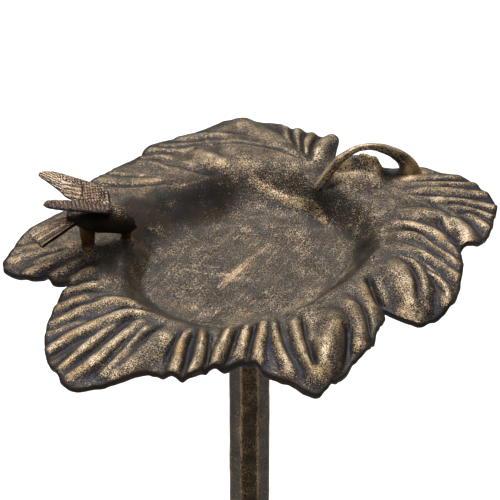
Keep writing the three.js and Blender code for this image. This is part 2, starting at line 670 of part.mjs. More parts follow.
function rodWasher() {
  const top = BASE_CEILING_Z - GAP;
  return ring(0, 0, ROD_WASHER.inner, ROD_WASHER.outer, top - ROD_WASHER.thick, top);
}

function rodNut() {
  const top = BASE_CEILING_Z - ROD_WASHER.thick - 2 * GAP;
  const nut = prism(hexagon(ROD_NUT.acrossFlats), top - ROD_NUT.height, top);
  return nut.subtract(rod(0, 0, ROD_R + GAP, top - ROD_NUT.height - 1, top + 1));
}

const assembly = new THREE.Group();
assembly.name = 'bird_bath';

function addPiece(name, solid, colour) {
  const [color, roughness, metalness] = COLOURS[colour];
  const material = new THREE.MeshStandardMaterial({ color, roughness, metalness });
  material.name = colour;
  const mesh = new THREE.Mesh(toGeometry(solid), material);
  mesh.name = name;
  assembly.add(mesh);
}

addPiece('leaf_bowl', leafBowl(), 'leaf');
addPiece('stem_loop', stemSolid(0), 'leaf');
addPiece('bird_body', birdBody(), 'bird');
addPiece('bird_wing_left', placeBird(wingPlate(1, 0)), 'bird');
addPiece('bird_wing_right', placeBird(wingPlate(-1, 0)), 'bird');
addPiece('bird_screw_rear', pegScrew(REAR_PEG), 'steel');
addPiece('bird_screw_front', pegScrew(FRONT_PEG), 'steel');
addPiece('bird_washer_rear', pegWasher(REAR_PEG), 'steel');
addPiece('bird_washer_front', pegWasher(FRONT_PEG), 'steel');
addPiece('seat_washer', seatWasher(), 'rubber');
addPiece('post_cap', postCap(), 'post');
addPiece('post_upper', upperPost(), 'post');
addPiece('post_lower', lowerPost(), 'post');
addPiece('tie_rod', tieRod(), 'steel');
addPiece('tie_rod_washer', rodWasher(), 'steel');
addPiece('tie_rod_nut', rodNut(), 'steel');
addPiece('base_casting', baseCasting(), 'base');
footPlaces().forEach((place, k) => addPiece(`foot_${k + 1}`, foot(place), 'rubber'));

export default assembly;
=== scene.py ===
"""Leaf-shaped bird bath: looks. Metres, in the CAD frame; the shape constants are in millimetres."""

import math

import bpy
import numpy as np
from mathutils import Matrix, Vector


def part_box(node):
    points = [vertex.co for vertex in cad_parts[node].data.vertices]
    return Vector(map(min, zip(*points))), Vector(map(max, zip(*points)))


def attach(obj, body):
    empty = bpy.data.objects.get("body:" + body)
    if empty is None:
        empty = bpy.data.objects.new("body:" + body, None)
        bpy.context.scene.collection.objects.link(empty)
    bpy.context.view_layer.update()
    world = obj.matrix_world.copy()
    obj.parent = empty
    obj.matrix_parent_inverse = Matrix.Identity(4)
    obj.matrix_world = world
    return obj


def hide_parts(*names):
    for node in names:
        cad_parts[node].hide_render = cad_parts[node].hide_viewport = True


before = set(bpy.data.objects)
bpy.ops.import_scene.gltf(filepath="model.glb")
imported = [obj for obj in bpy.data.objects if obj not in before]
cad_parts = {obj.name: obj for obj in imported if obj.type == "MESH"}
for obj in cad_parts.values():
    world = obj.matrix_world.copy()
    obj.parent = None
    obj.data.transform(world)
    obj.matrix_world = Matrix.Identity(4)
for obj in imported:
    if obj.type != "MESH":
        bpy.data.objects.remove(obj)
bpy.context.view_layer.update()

MM = 0.001
# Height of the basin's floor, and the basin's centre in the plan
FLOOR_Z = 700.0
BASIN_CENTRE = (2.0, -8.0)
LEAF_THICKNESS = 5.5
FLOOR_DISH = 1.5
DROOP_POWER = 1.7
# Share of its height that a rib has at its inner end
RIDGE_HEAD = 0.12
KNUCKLE_HEAD = 0.55
# Depth of the rounded rim, all round and at the front, and the front's direction and spread
RIM_DEPTH = 5.6
FRONT_RIM_DEPTH = 8.6
FRONT_DEGREES, FRONT_SPREAD = 264, 24
RIM_ROUNDING = 2.6
# Section of the rim: how far it stands out, and the share of its depth
RIM_PROFILE = ((1.4, 0.06), (2.3, 0.18), (2.6, 0.36), (2.6, 0.58), (2.4, 0.78), (1.5, 0.93), (0, 1.0))
# Leaf mesh: spokes, then rings on the floor, up the wall, out to the rim and back under the lobes
SPOKES = 840
FLOOR_RINGS, WALL_RINGS, LOBE_RINGS, UNDER_RINGS = 28, 18, 49, 13

# Rim of the leaf, anticlockwise about the basin centre: degrees, radius, height over the floor
LEAF_EDGE = [
    (1.5, 193, 16), (3, 209, 14), (6, 216, 14), (11, 226, 13), (15.5, 234, 13), (19, 242, 13),
    (21, 243, 14), (24.5, 241, 16), (28, 236, 18), (31.5, 230, 20), (35, 217, 21), (39, 209, 22),
    (43, 186, 24), (47, 163, 31), (51, 145, 35), (55, 132, 32), (59, 134, 29), (61.3, 164, 27),
    (62.8, 177, 26), (64.2, 191, 24), (70, 193, 24), (75, 198, 23), (79.5, 203, 22), (82.5, 209, 22),
    (88.6, 210, 22), (92, 216, 22), (97, 213, 22), (101, 206, 22), (107, 199, 22), (113, 195, 22),
    (119, 196, 22), (122, 192, 22), (126.5, 181, 24), (137, 182, 24), (145, 184, 24),
    (155, 182, 24), (161, 183, 23), (165, 191, 22), (171, 208, 19), (176, 215, 17), (180, 220, 16),
    (183, 227, 12), (185, 227, 12), (187.5, 219, 12), (190, 206, 13), (192, 191, 16),
    (195.5, 184, 17), (197, 173, 18), (202, 186, 15), (207, 200, 13), (212.5, 217, 10),
    (219, 233, 8), (224.5, 240, 6), (228.5, 246, 4), (231, 244, 4), (234, 230, 5), (237.5, 218, 6),
    (240, 202, 7), (243, 193, 8), (250, 191, 8), (253.5, 187, 8), (256.5, 174, 10), (261, 171, 10),
    (263.5, 165, 10), (267.5, 160, 10), (271, 166, 10), (274.5, 177, 10), (280.5, 188, 8),
    (283.5, 201, 6), (286, 207, 5), (290.5, 200, 7), (295.5, 191, 9), (299.5, 181, 10),
    (304, 178, 11), (312, 166, 12), (319.5, 156, 13), (323.2, 147, 14), (324.6, 156, 10),
    (325.3, 169, 1), (326.4, 179, -2), (329, 184, 3), (333, 189.5, 8), (338, 196, 13),
    (342, 196.5, 16), (347, 195, 17), (355, 192, 17), (359.5, 189, 17),
]
# Basin: degrees, radius at the foot of the wall, radius of the crest, height of the crest
BASIN = [
    (0, 86, 122, 27), (20, 89, 130, 28), (33, 94, 129, 29), (43, 95, 118, 28), (53, 94, 108, 27),
    (62, 92, 116, 30), (72, 88, 129, 33), (84, 85, 132, 33), (98, 80, 131, 33), (107, 76, 118, 30),
    (117, 73, 111, 29), (131, 72, 116, 28), (144, 73, 126, 27), (158, 78, 128, 26),
    (171, 87, 119, 28), (184, 93, 117, 28), (197, 101, 125, 25), (212, 104, 136, 21),
    (236, 102, 134, 20), (255, 99, 132, 22), (267, 95, 126, 23), (280, 89, 118, 24),
    (296, 83, 110, 25), (312, 79, 106, 26), (328, 78, 106, 26), (344, 82, 112, 27),
]
# Ridges that fade in from the basin's crest: half width, height, points from the crest to the rim
RIDGES = [
    # left lobe
    (7, 2.4, (-170, -13), (-198, -16), (-216, -19)), (7, 3, (-154, -20), (-176, -25), (-192, -29)),
    (7, 3, (-161, -25), (-182, -33), (-200, -39)), (8, 3.4, (-150, -32), (-166, -41), (-180, -51)),
    (8, 2.5, (-180, -6), (-198, -7), (-214, -9)),
    # front left lobe
    (8, 3, (-136, -44), (-149, -52), (-158, -58)), (8, 3.5, (-132, -66), (-148, -69), (-162, -72)),
    (8, 3.5, (-137, -83), (-155, -87), (-170, -94)),
    (9, 3.6, (-96, -100), (-110, -93), (-130, -91), (-150, -102), (-173, -116)),
    (7, 2.4, (-136, -111), (-160, -122), (-178, -129)),
    (9, 4, (-74, -121), (-90, -114), (-109, -109), (-132, -120), (-156, -133), (-175, -150)),
    (8, 3.8, (-116, -123), (-133, -139), (-150, -158), (-166, -177)),
    (9, 4.2, (-84, -120), (-97, -125), (-112, -142), (-132, -165), (-156, -186)),
    (8, 3.6, (-85, -124), (-94, -136), (-106, -158), (-126, -183)),
    (14, 5, (-65, -130), (-77, -147), (-94, -166), (-114, -185)),
    # front right lobe
    (9, 7, (39, -117), (43, -146), (48, -167), (57, -188)),
    (17, 10, (69, -108), (75, -130), (72, -152), (62, -186)),
    (11, 6, (83, -92), (93, -108), (98, -126), (97, -150)),
    (10, 5, (96, -72), (107, -92), (111, -108), (112, -130)),
    # lower right lobe
    (19, 9, (123, -36), (137, -61), (144, -85), (146, -107)),
    (10, 5, (138, -25), (150, -42), (156, -66), (155, -92)),
    (8, 4.5, (149, -33), (164, -50), (174, -65), (177, -85)),
    (9, 5, (138, -14), (158, -25), (174, -37), (190, -56)),
    (8, 5, (134, 6), (154, 2), (172, -10), (190, -36)),
    (10, 5, (131, 22), (151, 17), (171, 8), (190, -16)),
    # upper right lobe
    (13, 5, (137, 32), (157, 38), (176, 35), (184, 21)),
    (14, 7, (178, 40), (192, 26), (200, 12), (201, -1)),
    (6, 3, (197, 49), (208, 44), (222, 31)), (6, 2.4, (182, 57), (201, 58), (227, 50)),
    (7, 3, (164, 65), (192, 67), (230, 66)), (6, 2.6, (148, 76), (178, 82), (219, 85)),
    (6, 2.2, (144, 86), (174, 91), (209, 98)), (6, 1.8, (139, 98), (164, 103), (194, 107)),
    # back lobe
    (7, 2.5, (-36, 152), (-68, 145), (-93, 149)), (15, 3, (44, 127), (25, 156), (8, 177), (-5, 197)),
    (6, 2.6, (42, 138), (37, 164), (33, 187)), (7, 3, (49, 131), (45, 160), (46, 182)),
    (7, 3, (53, 124), (54, 152), (59, 173)), (12, 7, (63, 117), (70, 148), (80, 165)),
    (13, 4, (-24, 108), (-35, 122), (-47, 136)), (8, 2.5, (-54, 106), (-77, 121), (-103, 125)),
    (8, 2, (-63, 95), (-102, 92), (-138, 95)), (7, 2, (-17, 165), (-42, 174), (-66, 170)),
    (5, 1.6, (-30, 160), (-58, 158), (-84, 158)), (5, 1.6, (-70, 134), (-92, 137), (-110, 137)),
    # curled ear beside the stem, and the swelling that the bird stands on
    (22, 8, (78, 76), (96, 92), (112, 98)), (13, 14, (80, 92), (97, 103), (118, 103)),
    (8, 20, (100, 102), (108, 104), (118, 104)),
    (24, 3.5, (-174, -16), (-146, -13), (-106, -5)),
    # ledge along the back of the floor
    (5, 1.8, (2, 103), (25, 91.5), (51, 78.5), (70, 62)),
]
# Ridges with a blunt head at the crest: half width, height, points from the crest to the rim
KNUCKLES = [
    # front rim
    (8, 5.5, (-54, -138), (-60, -152), (-63, -170), (-68, -187)),
    (7, 5.5, (-42, -138), (-42, -155), (-45, -171), (-51, -187)),
    (8, 6, (-16, -136), (-22, -153), (-27, -166), (-31, -178)),
    (7, 3.5, (-2, -131), (-5, -151), (-7, -162)),
    (9, 6, (15, -126), (11, -144), (7, -158), (7, -171)),
    (8, 5, (20, -126), (24, -148), (28, -164), (35, -184)),
]
# Grooves: half width, depth, points
GROOVES = [
    (4, 2, (-167, -15), (-179, -18), (-190, -23)),
    (5, 3, (-150, -27), (-159, -28), (-173, -37), (-185, -44)),
    (4, 2.5, (-134, -60), (-147, -62), (-157, -65)), (4, 2.5, (-132, -76), (-148, -76), (-164, -79)),
    (4, 2.5, (-133, -91), (-153, -95), (-168, -103)),
    (5, 2.5, (-88, -107), (-110, -101), (-134, -111), (-159, -115), (-178, -121)),
    (5, 2.5, (-133, -131), (-156, -145), (-176, -161)),
    (6, 3.5, (-86, -114), (-106, -117), (-119, -132), (-138, -156), (-160, -177)),
    (6, 3, (-103, -139), (-115, -154), (-125, -171), (-144, -190)),
    (5, 3, (-74, -123), (-89, -139), (-106, -161)), (5, 3.5, (-58, -137), (-69, -158), (-74, -176)),
    (5, 3, (-50, -142), (-54, -162), (-57, -184)), (5, 3.5, (-34, -140), (-36, -160), (-37, -176)),
    (5, 4, (-11, -139), (-16, -157), (-19, -170)), (6, 4, (5, -130), (2, -152), (0, -165)),
    (5, 3, (27, -124), (28, -144), (37, -175)), (9, 6, (47, -115), (49, -146), (54, -166), (59, -186)),
    (7, 5, (85, -128), (86, -149), (82, -176)),
    (5, 3, (99, -98), (104, -117), (106, -136)), (8, 8, (106, -56), (112, -78), (117, -94)),
    (6, 4, (135, -27), (145, -46), (150, -70), (150, -92)), (5, 3, (161, -55), (168, -65), (176, -81)),
    (5, 4, (134, -21), (150, -36), (170, -54), (187, -68)),
    (4, 4, (143, -6), (164, -25), (190, -47)), (5, 4, (131, 17), (154, 7), (173, -10), (188, -25)),
    (6, 5, (172, 34), (179, 15), (192, -9)), (5, 3.5, (162, 68), (180, 47), (194, 33)),
    (4, 3, (202, 39), (209, 28), (215, 15)), (4, 3, (191, 48), (210, 51), (226, 43)),
    (4, 3, (182, 62), (205, 61), (230, 58)), (4, 3.5, (151, 71), (187, 72), (226, 79)),
    (4, 3, (176, 87), (199, 93), (218, 94)), (4, 3, (139, 92), (169, 96), (205, 103)),
    (4, 2.5, (139, 105), (160, 112), (183, 111)), (4, 3, (-105, 137), (-89, 143), (-62, 140)),
    (4, 3, (-56, 148), (-17, 153), (21, 141), (46, 123)),
    (10, 5, (-94, 129), (-63, 116), (-43, 106), (-28, 100)),
    (4, 2.5, (-140, 109), (-112, 102), (-79, 93)), (4, 2.5, (-136, 87), (-106, 84), (-72, 88)),
    (4, 3, (39, 186), (41, 158), (48, 137)), (4, 3, (52, 177), (49, 149), (53, 126)),
    (5, 3.5, (65, 167), (59, 147), (58, 120)), (4, 2, (-47, 172), (-26, 178), (-3, 169)),
    (8, 6, (77, 111), (71, 90), (65, 77)),
]
# Where gold is brushed on thicker, and where highlights are painted on in gold: half width, amount, points
GOLD_AND_HIGHLIGHT_PATCHES = [
    # painted highlight and gold along the edge of the floor below the stem, painted highlight on the left
    # back shoulder, the back lobe's veins
    (5, 1.4, (2, 103), (25, 91.5), (51, 78.5), (70, 62)), (22, 0.5, (-52, 132), (-38, 120), (-28, 106)),
    (16, 0.5, (-8, 190), (10, 172), (30, 155)), (18, 0.25, (-110, 92), (-70, 92), (-52, 98)),
    (12, 0.6, (60, 135), (66, 150)),
    # curled ear, and the lobe where the stem lands
    (17, 0.8, (114, 92), (100, 98), (84, 88)), (14, 1.5, (138, 96), (150, 102), (160, 110)),
    (8, 1.3, (134, 122), (146, 126), (160, 119)), (9, 0.8, (124, 112), (136, 118)),
    # walls of the basin
    (14, 0.45, (-12, 104), (24, 104), (46, 98)), (5, 2.4, (-91, 34), (-87, 37), (-83, 40)),
    (7, 0.9, (99, 34), (101, 40)), (12, 0.35, (-100, 70), (-60, 88)),
    (3, 0.9, (-72, 78), (-50, 88), (-36, 98)), (3, 0.8, (-98, 44), (-84, 58), (-70, 66)),
    (3, 0.7, (-44, 84), (-30, 92), (-14, 96)), (4, 0.6, (96, -8), (92, -34), (78, -56)),
    # smear and strokes on the floor
    (6, 1.3, (-26, -38), (-14, -20), (-6, -6)), (5, 0.8, (-6, -6), (4, 8), (18, 26)),
    (3, 0.8, (-58, -14), (-38, -20), (-14, -22)), (3, 0.6, (-52, -6), (-30, -10)),
    (10, 0.3, (-50, -75), (0, -90)), (10, 0.35, (60, -50), (40, -80)),
    # front rim and the lobe to its right, left lobe, painted highlight on the shoulder behind the basin
    (30, 0.3, (-40, -162), (10, -150), (60, -150)), (26, 0.3, (60, -150), (92, -118), (112, -96)),
    (22, 0.3, (-160, -14), (-200, -24)), (26, 0.3, (-20, 120), (20, 126), (50, 112)),
]
# Painted shade on the basin's walls that face away from the light and where the bird shades the leaf, along
# with darker patina there: half width, amount, points
PAINTED_SHADE_PATCHES = [
    (36, 1.3, (-100, 38), (-76, 60), (-36, 84)), (16, 0.6, (-22, 96), (20, 104), (44, 98)),
    (22, 0.7, (-112, 18), (-104, 48)), (20, 0.6, (-128, -40), (-122, -14)),
    (16, 0.5, (-88, -92), (-112, -66), (-118, -40)), (16, 0.5, (80, 60), (102, 34), (106, 4)),
    (16, 0.55, (106, 4), (98, -30), (78, -62)), (10, 0.5, (78, -62), (46, -96), (10, -112)),
    (22, 0.5, (66, 70), (72, 92), (70, 104)),
]
# Stem loop: x, y, height over the floor, radius
STEM = [
    (62.5, 79, 27, 3.8), (67, 81, 33, 4.4), (75, 84.5, 44, 4.7), (83, 87.5, 53, 4.4),
    (98, 94, 60.8, 3.3), (108, 97.5, 61.3, 3.2), (118, 101, 58.8, 3.8), (127, 105, 53.6, 4.8),
    (137, 109, 46.2, 5.9), (144, 112, 38.6, 7), (149, 114, 30, 8.4), (151.5, 115.5, 20.5, 10.5),
]


def around(rows, column):
    """Periodic interpolation through rows of (degrees, values...) that never overshoots its points."""
    a = np.array([r[0] for r in rows], float)
    y = np.array([r[column] for r in rows], float)
    a = np.r_[a[-1] - 360, a, a[0] + 360]
    y = np.r_[y[-1], y, y[0]]
    width = np.diff(a)
    secant = np.diff(y) / width
    slope = np.zeros(len(a))
    for i in range(1, len(a) - 1):
        before, after = secant[i - 1], secant[i]
        if before * after > 0:
            slope[i] = 2 * before * after / (before + after)
    slope[0], slope[-1] = slope[-2], slope[1]

    def at(degrees):
        q = np.mod(np.asarray(degrees, float) - a[0], 360) + a[0]
        i = np.clip(np.searchsorted(a, q, side="right") - 1, 0, len(a) - 2)
        t = (q - a[i]) / width[i]
        return (
            (2 * t**3 - 3 * t**2 + 1) * y[i]
            + (t**3 - 2 * t**2 + t) * width[i] * slope[i]
            + (3 * t**2 - 2 * t**3) * y[i + 1]
            + (t**3 - t**2) * width[i] * slope[i + 1]
        )

    return at


edge_radius, edge_height = around(LEAF_EDGE, 1), around(LEAF_EDGE, 2)
foot_radius, crest_radius, crest_height = around(BASIN, 1), around(BASIN, 2), around(BASIN, 3)


def smooth_noise(x, y, size, seed):
    """Value noise in [-1, 1] with features of that size, from a seeded lattice."""
    grid = np.random.default_rng(seed).uniform(-1, 1, (256, 256))
    u, v = x / size, y / size
    iu, iv = np.floor(u).astype(int), np.floor(v).astype(int)
    fu, fv = u - iu, v - iv
    fu, fv = fu * fu * (3 - 2 * fu), fv * fv * (3 - 2 * fv)
    a, b = grid[iu % 256, iv % 256], grid[(iu + 1) % 256, iv % 256]
    c, d = grid[iu % 256, (iv + 1) % 256], grid[(iu + 1) % 256, (iv + 1) % 256]
    return (a * (1 - fu) + b * fu) * (1 - fv) + (c * (1 - fu) + d * fu) * fv


def step(value, low, high):
    """Smooth rise from 0 at low to 1 at high."""
    t = np.clip((value - low) / (high - low), 0, 1)
    return t * t * (3 - 2 * t)


def leaf_base(degrees, radius):
    """Height over the basin floor, without ribs."""
    floor, crest, top = foot_radius(degrees), crest_radius(degrees), crest_height(degrees)
    edge, margin = edge_radius(degrees), edge_height(degrees)
    w = np.clip((radius - floor) / (crest - floor), 0, 1)
    dish = FLOOR_DISH * np.minimum(1, radius / floor) ** 2 * (1 - w)
    t = np.clip((radius - crest) / (edge - crest), 0, 1.2)
    inner = top * w * w * (3 - 2 * w) + dish
    return np.where(radius > crest, top + (margin - top) * t**DROOP_POWER, inner)


def spline(points, count):
    """Catmull-Rom curve through the points, column by column."""
    p = np.array(points, float)
    p = np.vstack([2 * p[0] - p[1], p, 2 * p[-1] - p[-2]])
    out = []
    for q in np.linspace(0, len(points) - 1, count):
        k = min(int(q), len(points) - 2)
        t = q - k
        a, b, c, d = p[k : k + 4]
        square, cube = t * t, t**3
        bend, twist = 2 * a - 5 * b + 4 * c - d, 3 * b - a - 3 * c + d
        out.append(0.5 * (2 * b + (c - a) * t + bend * square + twist * cube))
    return np.array(out)


def near_line(x, y, line, reach):
    """Where x, y lies within reach of the line; the distance there, and how far along, 0 to 1."""
    near = (x > line[:, 0].min() - reach) & (x < line[:, 0].max() + reach)
    near &= (y > line[:, 1].min() - reach) & (y < line[:, 1].max() + reach)
    qx, qy = x[near], y[near]
    best, along = np.full(qx.shape, 1e9), np.zeros(qx.shape)
    for k in range(len(line) - 1):
        (ax, ay), (bx, by) = line[k], line[k + 1]
        dx, dy = bx - ax, by - ay
        s = np.clip(((qx - ax) * dx + (qy - ay) * dy) / (dx * dx + dy * dy), 0, 1)
        d = np.hypot(qx - ax - s * dx, qy - ay - s * dy)
        closer = d < best
        best = np.where(closer, d, best)
        along = np.where(closer, (k + s) / (len(line) - 1), along)
    return near, best, along


def rib_relief(x, y):
    """Height of the ribs less the depth of the grooves between them."""
    ridges, grooves = np.zeros_like(x), np.zeros_like(x)
    for table, head in ((RIDGES, RIDGE_HEAD), (KNUCKLES, KNUCKLE_HEAD)):
        for half, height, *points in table:
            near, d, along = near_line(x, y, spline(points, 17), half)
            taper = np.minimum(1, head + 3.5 * along)
            cap = np.clip(1 - (d / half) ** 2, 0, 1) ** 1.5
            ridges[near] = np.maximum(ridges[near], height * taper * cap)
    for half, depth, *points in GROOVES:
        near, d, along = near_line(x, y, spline(points, 13), half)
        taper = np.minimum(1, np.minimum(5 * along, 0.2 + 4 * (1 - along)))
        vee = np.clip(1 - d / half, 0, 1) ** 1.6
        grooves[near] = np.maximum(grooves[near], depth * taper * vee)
    return ridges - grooves


def plan(degrees, radius):
    """Point of the plan in that direction from the basin's centre, and that far from it."""
    a = np.radians(degrees)
    return BASIN_CENTRE[0] + radius * np.cos(a), BASIN_CENTRE[1] + radius * np.sin(a)


def leaf_top(degrees, radius):
    """Height over the basin floor, and the ribs and unevenness of the casting upon it."""
    x, y = plan(degrees, radius)
    uneven = 0.35 * smooth_noise(x, y, 23, 1) + 0.15 * smooth_noise(x, y, 7, 2)
    return leaf_base(degrees, radius), rib_relief(x, y) + uneven


def brushed(x, y, patches):
    """Sum of soft strokes: half width, amount, points."""
    total = np.zeros_like(x)
    for half, amount, *points in patches:
        near, d, along = near_line(x, y, spline(points, 9), half)
        total[near] += amount * np.clip(1 - (d / half) ** 2, 0, 1) ** 2
    return total


def grid_object(name, rows, smooth=True):
    """Mesh from an array (rows, columns, 3) whose columns close round, with a fan at each end."""
    n, m, _ = rows.shape
    i, j = np.meshgrid(np.arange(n - 1), np.arange(m), indexing="ij")
    k = (j + 1) % m
    quads = np.stack([i * m + j, i * m + k, (i + 1) * m + k, (i + 1) * m + j], -1).reshape(-1, 4)
    first, last, end_row = n * m, n * m + 1, (n - 1) * m
    fans = [[first, (q + 1) % m, q] for q in range(m)]
    fans += [[last, end_row + q, end_row + (q + 1) % m] for q in range(m)]
    verts = np.vstack([rows.reshape(-1, 3), rows[0].mean(0), rows[-1].mean(0)])
    mesh = bpy.data.meshes.new(name)
    mesh.from_pydata(verts.tolist(), [], quads.tolist() + fans)
    mesh.update()
    mesh.polygons.foreach_set("use_smooth", [smooth] * len(mesh.polygons))
    obj = bpy.data.objects.new(name, mesh)
    bpy.context.scene.collection.objects.link(obj)
    return obj


def round_row(angle, radius, z, x=0, y=0):
    """Points round the upright axis through x, y."""
    return np.stack([x + radius * np.cos(angle), y + radius * np.sin(angle), 0 * angle + z], -1)


def both_faces(upper, lower):
    """A plate's two faces as one closed row: out along the upper one, back along the lower one."""
    return np.concatenate([upper, lower[::-1]])


def blur_rows(z, k_rows, k_cols):
    """Box blur of a (rows, columns) array that closes round in its columns."""
    pad = np.pad(z, ((k_rows, k_rows), (0, 0)), mode="edge")
    total = np.zeros_like(z)
    for d in range(2 * k_rows + 1):
        total += pad[d : d + z.shape[0]]
    z = total / (2 * k_rows + 1)
    out = np.zeros_like(z)
    for d in range(-k_cols, k_cols + 1):
        out += np.roll(z, d, axis=1)
    return out / (2 * k_cols + 1)


def patina(obj, ridge, shade, ends):
    """Stores both values at every point; ends holds what the middles of the end fans get."""
    for name, values, end in zip(("ridge", "shade"), (ridge, shade), ends):
        attribute = obj.data.attributes.new(name, "FLOAT", "POINT")
        values = np.r_[np.clip(values, 0, 1).ravel(), end, end]
        attribute.data.foreach_set("value", values.astype(np.float32))


# ---------------- materials


class Nodes:
    """Short calls for building one material's node tree."""

    def __init__(self, name):
        self.material = bpy.data.materials.new(name)
        self.material.use_nodes = True
        self.tree = self.material.node_tree
        self.tree.nodes.clear()
        self.shader = self.tree.nodes.new("ShaderNodeBsdfPrincipled")
        out = self.tree.nodes.new("ShaderNodeOutputMaterial")
        self.link(self.shader.outputs[0], out.inputs[0])
        self.coords = self.tree.nodes.new("ShaderNodeTexCoord").outputs["Object"]

    def link(self, a, b):
        self.tree.links.new(a, b)

    def put(self, socket, value):
        if hasattr(value, "is_output"):
            self.link(value, socket)
        elif isinstance(value, tuple) and len(value) == 3 and len(socket.default_value) == 4:
            socket.default_value = (*value, 1)
        else:
            socket.default_value = value

    def streaks(self, across, along, turn=(0, 0, 0)):
        """Noise drawn out along its own turned Y axis; across and along are features per metre."""
        node = self.tree.nodes.new("ShaderNodeMapping")
        node.vector_type = "TEXTURE"
        self.link(self.coords, node.inputs["Vector"])
        node.inputs["Scale"].default_value = (1 / across, 1 / along, 1 / across)
        node.inputs["Rotation"].default_value = turn
        return self.noise(1.0, 3, 0.6, node.outputs[0])

    def noise(self, scale, detail, rough, vector=None):
        """Noise with that many features per metre, or per unit of the vector."""
        node = self.tree.nodes.new("ShaderNodeTexNoise")
        self.link(vector or self.coords, node.inputs["Vector"])
        node.inputs["Scale"].default_value = scale
        node.inputs["Detail"].default_value = detail
        node.inputs["Roughness"].default_value = rough
        return node.outputs["Fac"]

    def height(self):
        node = self.tree.nodes.new("ShaderNodeSeparateXYZ")
        self.link(self.coords, node.inputs[0])
        return node.outputs[2]

    def attribute(self, name):
        node = self.tree.nodes.new("ShaderNodeAttribute")
        node.attribute_name = name
        return node.outputs["Fac"]

    def math(self, op, *values):
        node = self.tree.nodes.new("ShaderNodeMath")
        node.operation = op
        for socket, value in zip(node.inputs, values):
            self.put(socket, value)
        return node.outputs[0]

    def span(self, value, low, high, to_low=0.0, to_high=1.0):
        """Maps low..high to to_low..to_high, clamped."""
        node = self.tree.nodes.new("ShaderNodeMapRange")
        self.put(node.inputs["Value"], value)
        node.inputs["From Min"].default_value = low
        node.inputs["From Max"].default_value = high
        node.inputs["To Min"].default_value = to_low
        node.inputs["To Max"].default_value = to_high
        return node.outputs[0]

    def mix(self, factor, a, b):
        node = self.tree.nodes.new("ShaderNodeMix")
        node.data_type = "RGBA"
        self.put(node.inputs["Factor"], factor)
        self.put(node.inputs[6], a)
        self.put(node.inputs[7], b)
        return node.outputs[2]

    def bump(self, height, strength, distance, normal=None):
        node = self.tree.nodes.new("ShaderNodeBump")
        node.inputs["Strength"].default_value = strength
        node.inputs["Distance"].default_value = distance
        self.put(node.inputs["Height"], height)
        if normal is not None:
            self.link(normal, node.inputs["Normal"])
        return node.outputs[0]


BLACK_BROWN = (0.008, 0.006, 0.005)
UMBER = (0.045, 0.027, 0.014)
DARK_UMBER = (0.020, 0.012, 0.006)
BODY = (0.055, 0.049, 0.041)
# bluish grey for the leaf's hollows: a painted reflection, the sheen of the light from above
PAINTED_SHEEN_GREY = (0.030, 0.030, 0.036)
GOLD = (0.40, 0.255, 0.115)
PALE_GOLD = (0.62, 0.47, 0.30)
COPPER = (0.36, 0.225, 0.13)
PALE_COPPER = (0.58, 0.44, 0.31)
DULL_COPPER = (0.20, 0.145, 0.115)
PEG_BROWN = (0.13, 0.062, 0.018)


def antique_bronze(name, body=BODY, hollow=PAINTED_SHEEN_GREY, gold=(GOLD, PALE_GOLD), level=0.0, streaks=0.0):
    """Dark patina with gold dry-brushed over what stands proud.

    The vertex value ridge is 0 in a hollow, 0.5 on the flat and 1 on a crest; shade is 1 where
    the surface is painted dark, mostly as painted shade and partly as dark patina. level is how much less of
    the grain the gold covers, and streaks how much more it covers in brush strokes, which are strongest on
    the basin's floor."""
    n = Nodes(name)
    ridge, shade = n.attribute("ridge"), n.attribute("shade")
    cloud = n.noise(35, 4, 0.6)
    fine, grit = n.noise(1900, 1, 0.5), n.noise(900, 2, 0.7)
    speckle = n.math("MULTIPLY_ADD", fine, 0.5, n.math("MULTIPLY", grit, 0.5))
    # hollows take the hollow colour: dark patina on most pieces, and on the leaf a bluish grey that is a
    # painted reflection
    colour = n.mix(n.span(ridge, 0.1, 0.5), hollow, body)
    colour = n.mix(n.span(cloud, 0.45, 0.7, 0.0, 0.6), colour, UMBER)
    colour = n.mix(n.span(grit, 0.40, 0.53, 0.85, 0.0), colour, BLACK_BROWN)
    # painted shade: the higher shade is, the nearer the colour comes to near black, with less gold, less
    # metal and more roughness
    deep = n.mix(n.span(cloud, 0.42, 0.62), BLACK_BROWN, DARK_UMBER)
    colour = n.mix(n.math("MULTIPLY", shade, 0.94), colour, deep)
    cover = n.span(ridge, 0.0, 1.0, 0.65 + level, 0.5 + level)
    cover = n.math("ADD", cover, n.math("MULTIPLY", shade, 0.09))
    cover = n.math("ADD", cover, n.span(n.noise(75, 3, 0.6), 0.3, 0.7, 0.045, -0.045))
    if streaks:
        lines = n.streaks(520, 30, (0, 0, math.radians(-28)))
        on_floor = n.span(n.height(), (FLOOR_Z + 2) * MM, (FLOOR_Z + 12) * MM, 1.0, 0.2)
        cover = n.math("MULTIPLY_ADD", on_floor, 0.012, cover)
        strokes = n.span(lines, 0.44, 0.72, 0.012, -streaks)
        cover = n.math("ADD", cover, n.math("MULTIPLY", strokes, on_floor))
    patch = n.span(n.math("SUBTRACT", speckle, cover), -0.018, 0.036)
    gold_colour = n.mix(n.span(cloud, 0.38, 0.58), *gold)
    colour = n.mix(n.math("MULTIPLY", patch, 0.9), colour, gold_colour)
    n.link(colour, n.shader.inputs["Base Color"])
    n.link(n.span(shade, 0.3, 1.0, 0.72, 0.25), n.shader.inputs["Metallic"])
    n.shader.inputs["IOR"].default_value = 1.2
    gloss = n.span(grit, 0.35, 0.65, 0.26, 0.47)
    n.link(n.math("MULTIPLY_ADD", shade, 0.18, gloss), n.shader.inputs["Roughness"])
    bump = n.bump(fine, 0.5, 0.0005)
    bump = n.bump(grit, 0.7, 0.0011, bump)
    n.link(bump, n.shader.inputs["Normal"])
    return n.material


